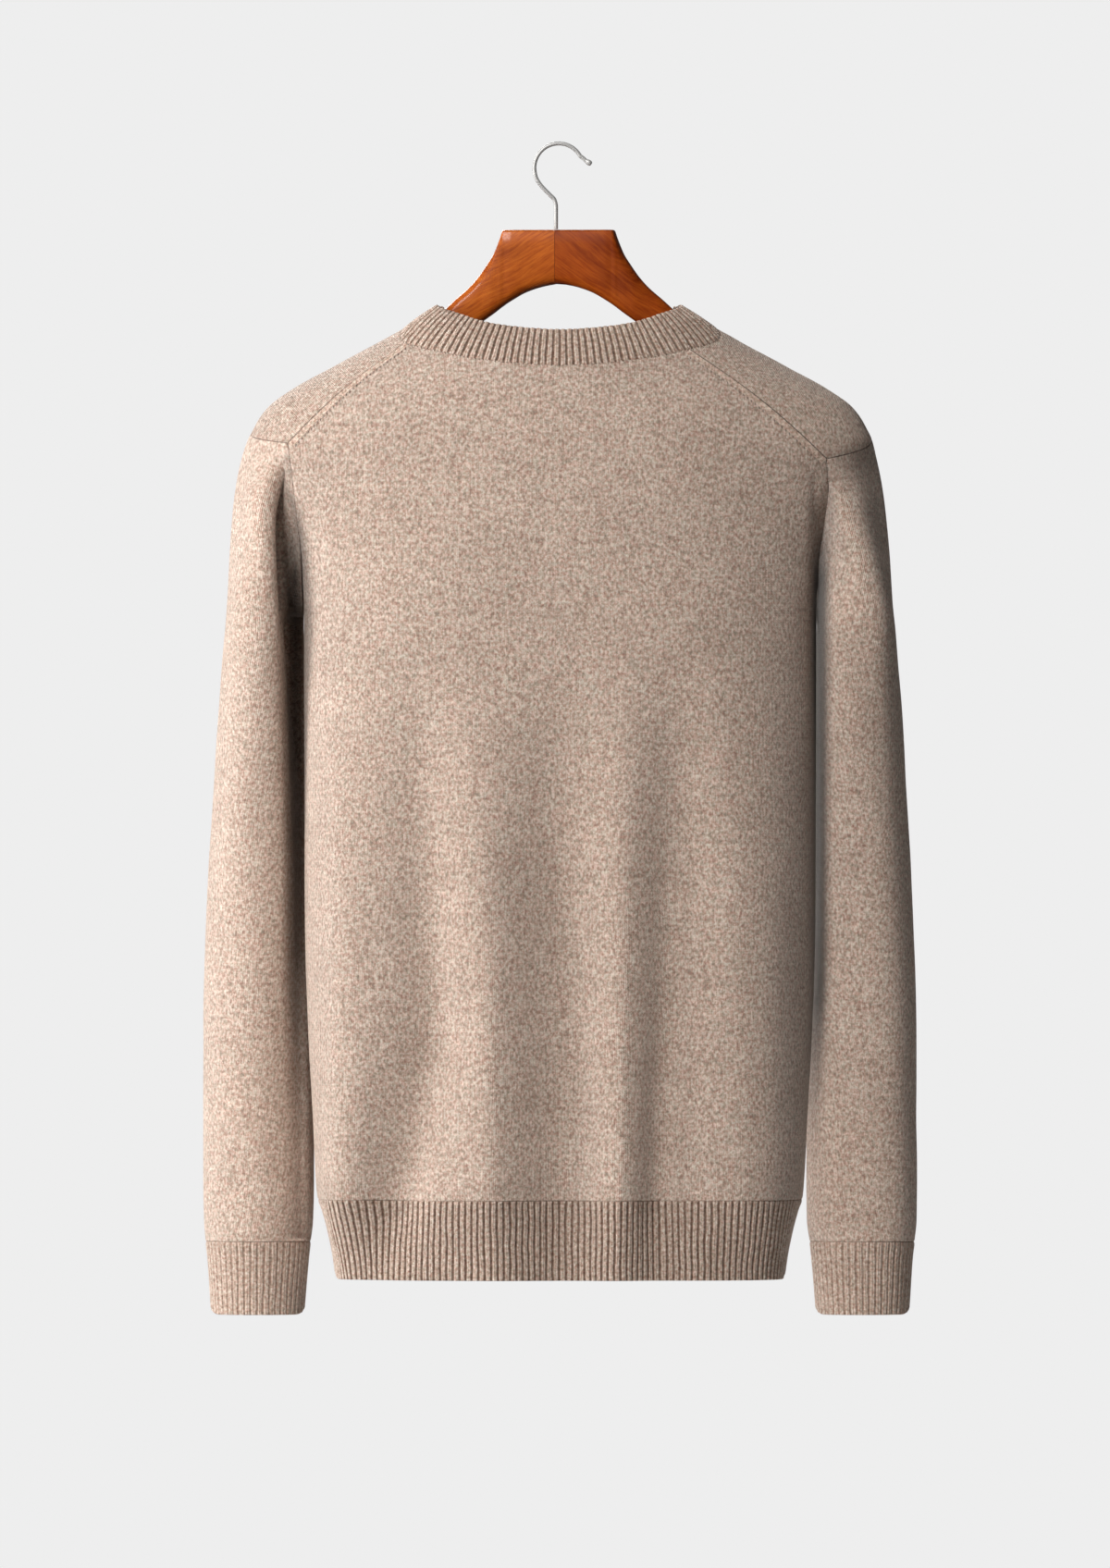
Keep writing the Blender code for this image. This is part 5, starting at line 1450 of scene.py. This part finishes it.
# ------------------------------------------------------------------ making it all
back = build_back()
front = build_front()
sleeve_l, sleeve_r = build_sleeve("sleeve_left", +1), build_sleeve("sleeve_right", -1)
hem_b, n1 = build_ribbed("hem_back_rib", hem_surface(+1), False, 57.2, 61, middle=(BODY_X, -8.0))
hem_f, n2 = build_ribbed("hem_front_rib", hem_surface(-1), False, 57.2, 67, middle=(BODY_X, -8.0))
cuff_l, n3 = build_ribbed("cuff_left_rib", cuff_surface(+1), True, 54.7, 71, depth=0.6, mat=RIB_SOFT)
cuff_r, n4 = build_ribbed("cuff_right_rib", cuff_surface(-1), True, 54.7, 73, depth=0.6, mat=RIB_SOFT)
band, n5 = build_ribbed("neckband_rib", neck_surface, True, 30.0, 79, depth=1.3, middle=(BODY_X, -8.0))
print("ribs", n1, n2, n3, n4, n5)
for ob in (hem_b, hem_f, cuff_l, cuff_r, band):
    fix_normals(ob)

linking = neck_linking()
marks_l, marks_r = narrowing_marks(+1), narrowing_marks(-1)
wales_l, wales_r = edge_wales(+1), edge_wales(-1)
# the seam loops' darker yarns are painted shade in the seam gaps
seams_body = [seam_loops("seam_diagonal_left", diagonal_line(+1), 81, 0.75, LOOPS_IN_PAINTED_SHADE),
              seam_loops("seam_diagonal_right", diagonal_line(-1), 82, 0.42, SHADED),
              seam_loops("seam_hem", hem_line, 83)]
seams_arm_l, seams_arm_r = seam_loops("seam_armhole_left", armhole_line(+1), 84, 0.8, LOOPS_IN_PAINTED_SHADE), seam_loops("seam_armhole_right", armhole_line(-1), 85, 0.55, SHADED)
seams_cuff_l, seams_cuff_r = seam_loops("seam_cuff_left", cuff_line(+1), 86), seam_loops("seam_cuff_right", cuff_line(-1), 87)
for ob in [linking, marks_l, marks_r, wales_l, wales_r, seams_arm_l, seams_arm_r, seams_cuff_l, seams_cuff_r] + seams_body:
    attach(ob, "root")

cloth(back, ("back_panel",))
cloth(front, ("front_panel",))
cloth(sleeve_l, ("sleeve_left",))
cloth(sleeve_r, ("sleeve_right",))
cloth(hem_b, ("hem_rib_back",))
cloth(hem_f, ("hem_rib_front",))
cloth(cuff_l, ("cuff_left",))
cloth(cuff_r, ("cuff_right",))
cloth(band, ("neckband",))

steel = steel_material()
# the right half's darker tint is painted shade, with the light coming from the left
for name, node, side, tint in (("hanger_left_wood", "hanger_left", +1, (0.80, 0.79, 0.74)), ("hanger_right_wood", "hanger_right", -1, (0.62, 0.50, 0.37))):
    ob = build_hanger_half(name, side, wood_material("lacquered_" + name, tint))
    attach(ob, "root")
    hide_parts(node)
hook = build_hook(steel)
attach(hook, "root")
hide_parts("hook")

# ------------------------------------------------------------------ floor, lights, camera
def build_floor():
    import bmesh
    me = bpy.data.meshes.new("floor")
    bm = bmesh.new()
    bmesh.ops.create_circle(bm, cap_ends=True, segments=96, radius=1.35)
    bm.to_mesh(me)
    bm.free()
    me.materials.append(floor_material())
    ob = bpy.data.objects.new("floor", me)
    ob.location = (0.0, 0.0, -1.30)
    bpy.context.scene.collection.objects.link(ob)
    ob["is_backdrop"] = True
    return ob


def area_light(name, place, target, size, power, colour=(1.0, 1.0, 1.0)):
    from mathutils import Vector
    data = bpy.data.lights.new(name, "AREA")
    data.shape = "RECTANGLE"
    data.size, data.size_y = size
    data.energy = power
    data.color = colour
    ob = bpy.data.objects.new(name, data)
    ob.location = place
    ob.rotation_euler = (Vector(target) - Vector(place)).to_track_quat("-Z", "Y").to_euler()
    bpy.context.scene.collection.objects.link(ob)
    return ob


def build_world(lit, seen):
    w = bpy.data.worlds.new("studio")
    w.use_nodes = True
    nt = w.node_tree
    bg = nt.nodes["Background"]
    bg.inputs["Color"].default_value = (lit, lit, lit, 1.0)
    plain = nt.nodes.new("ShaderNodeBackground")
    plain.inputs["Color"].default_value = (seen, seen, seen, 1.0)
    path = nt.nodes.new("ShaderNodeLightPath")
    mixer = nt.nodes.new("ShaderNodeMixShader")
    nt.links.new(path.outputs["Is Camera Ray"], mixer.inputs[0])
    nt.links.new(bg.outputs[0], mixer.inputs[1])
    nt.links.new(plain.outputs[0], mixer.inputs[2])
    nt.links.new(mixer.outputs[0], nt.nodes["World Output"].inputs["Surface"])
    bpy.context.scene.world = w


def light_only(light, lit, shading):
    """The light reaches the pieces in lit, and only those in shading cast its shadow."""
    for kind, pieces in (("receiver_collection", lit), ("blocker_collection", shading)):
        group = bpy.data.collections.new(light.name + "_" + kind)
        for ob in pieces:
            group.objects.link(ob)
        setattr(light.light_linking, kind, group)


floor = build_floor()
build_world(0.05, 0.855)
area_light("key", (2.46, 0.43, -0.15), (0.0, 0.0, -0.45), (1.0, 1.9), 34.0)
arms = [sleeve_l, sleeve_r, cuff_l, cuff_r, seams_arm_l, seams_arm_r, seams_cuff_l, seams_cuff_r]
body = [ob for ob in bpy.context.scene.objects if ob.type == "MESH" and ob not in arms]
light_only(area_light("soft_body", (1.93, 3.58, 1.71), (0.0, 0.0, -0.45), (1.6, 1.2), 169.0), body, [ob for ob in body if ob is not floor])
light_only(area_light("soft_arms", (2.24, 3.40, 1.71), (0.0, 0.0, -0.45), (1.6, 1.2), 226.0), arms, arms)
area_light("overhead", (0.0, 1.2, 2.3), (0.0, 0.0, -0.3), (1.6, 1.6), 11.0)
area_light("far_side", (1.1, -3.7, 1.5), (0.0, 0.0, -0.45), (1.8, 1.8), 120.0)

cam = bpy.data.cameras.new("camera")
cam.lens, cam.sensor_width = 510.0, 36.0
cam_ob = bpy.data.objects.new("camera", cam)
cam_ob.location = (0.0027, 16.008, -0.460)
cam_ob.rotation_euler = (math.pi / 2, 0.0, math.pi)
bpy.context.scene.collection.objects.link(cam_ob)
bpy.context.scene.camera = cam_ob
bpy.context.scene.view_settings.view_transform = "Standard"


def plain(box):
    return [[float(x) for x in corner] for corner in box]


{"cad": plain(cad_box), "visual": plain(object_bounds())}
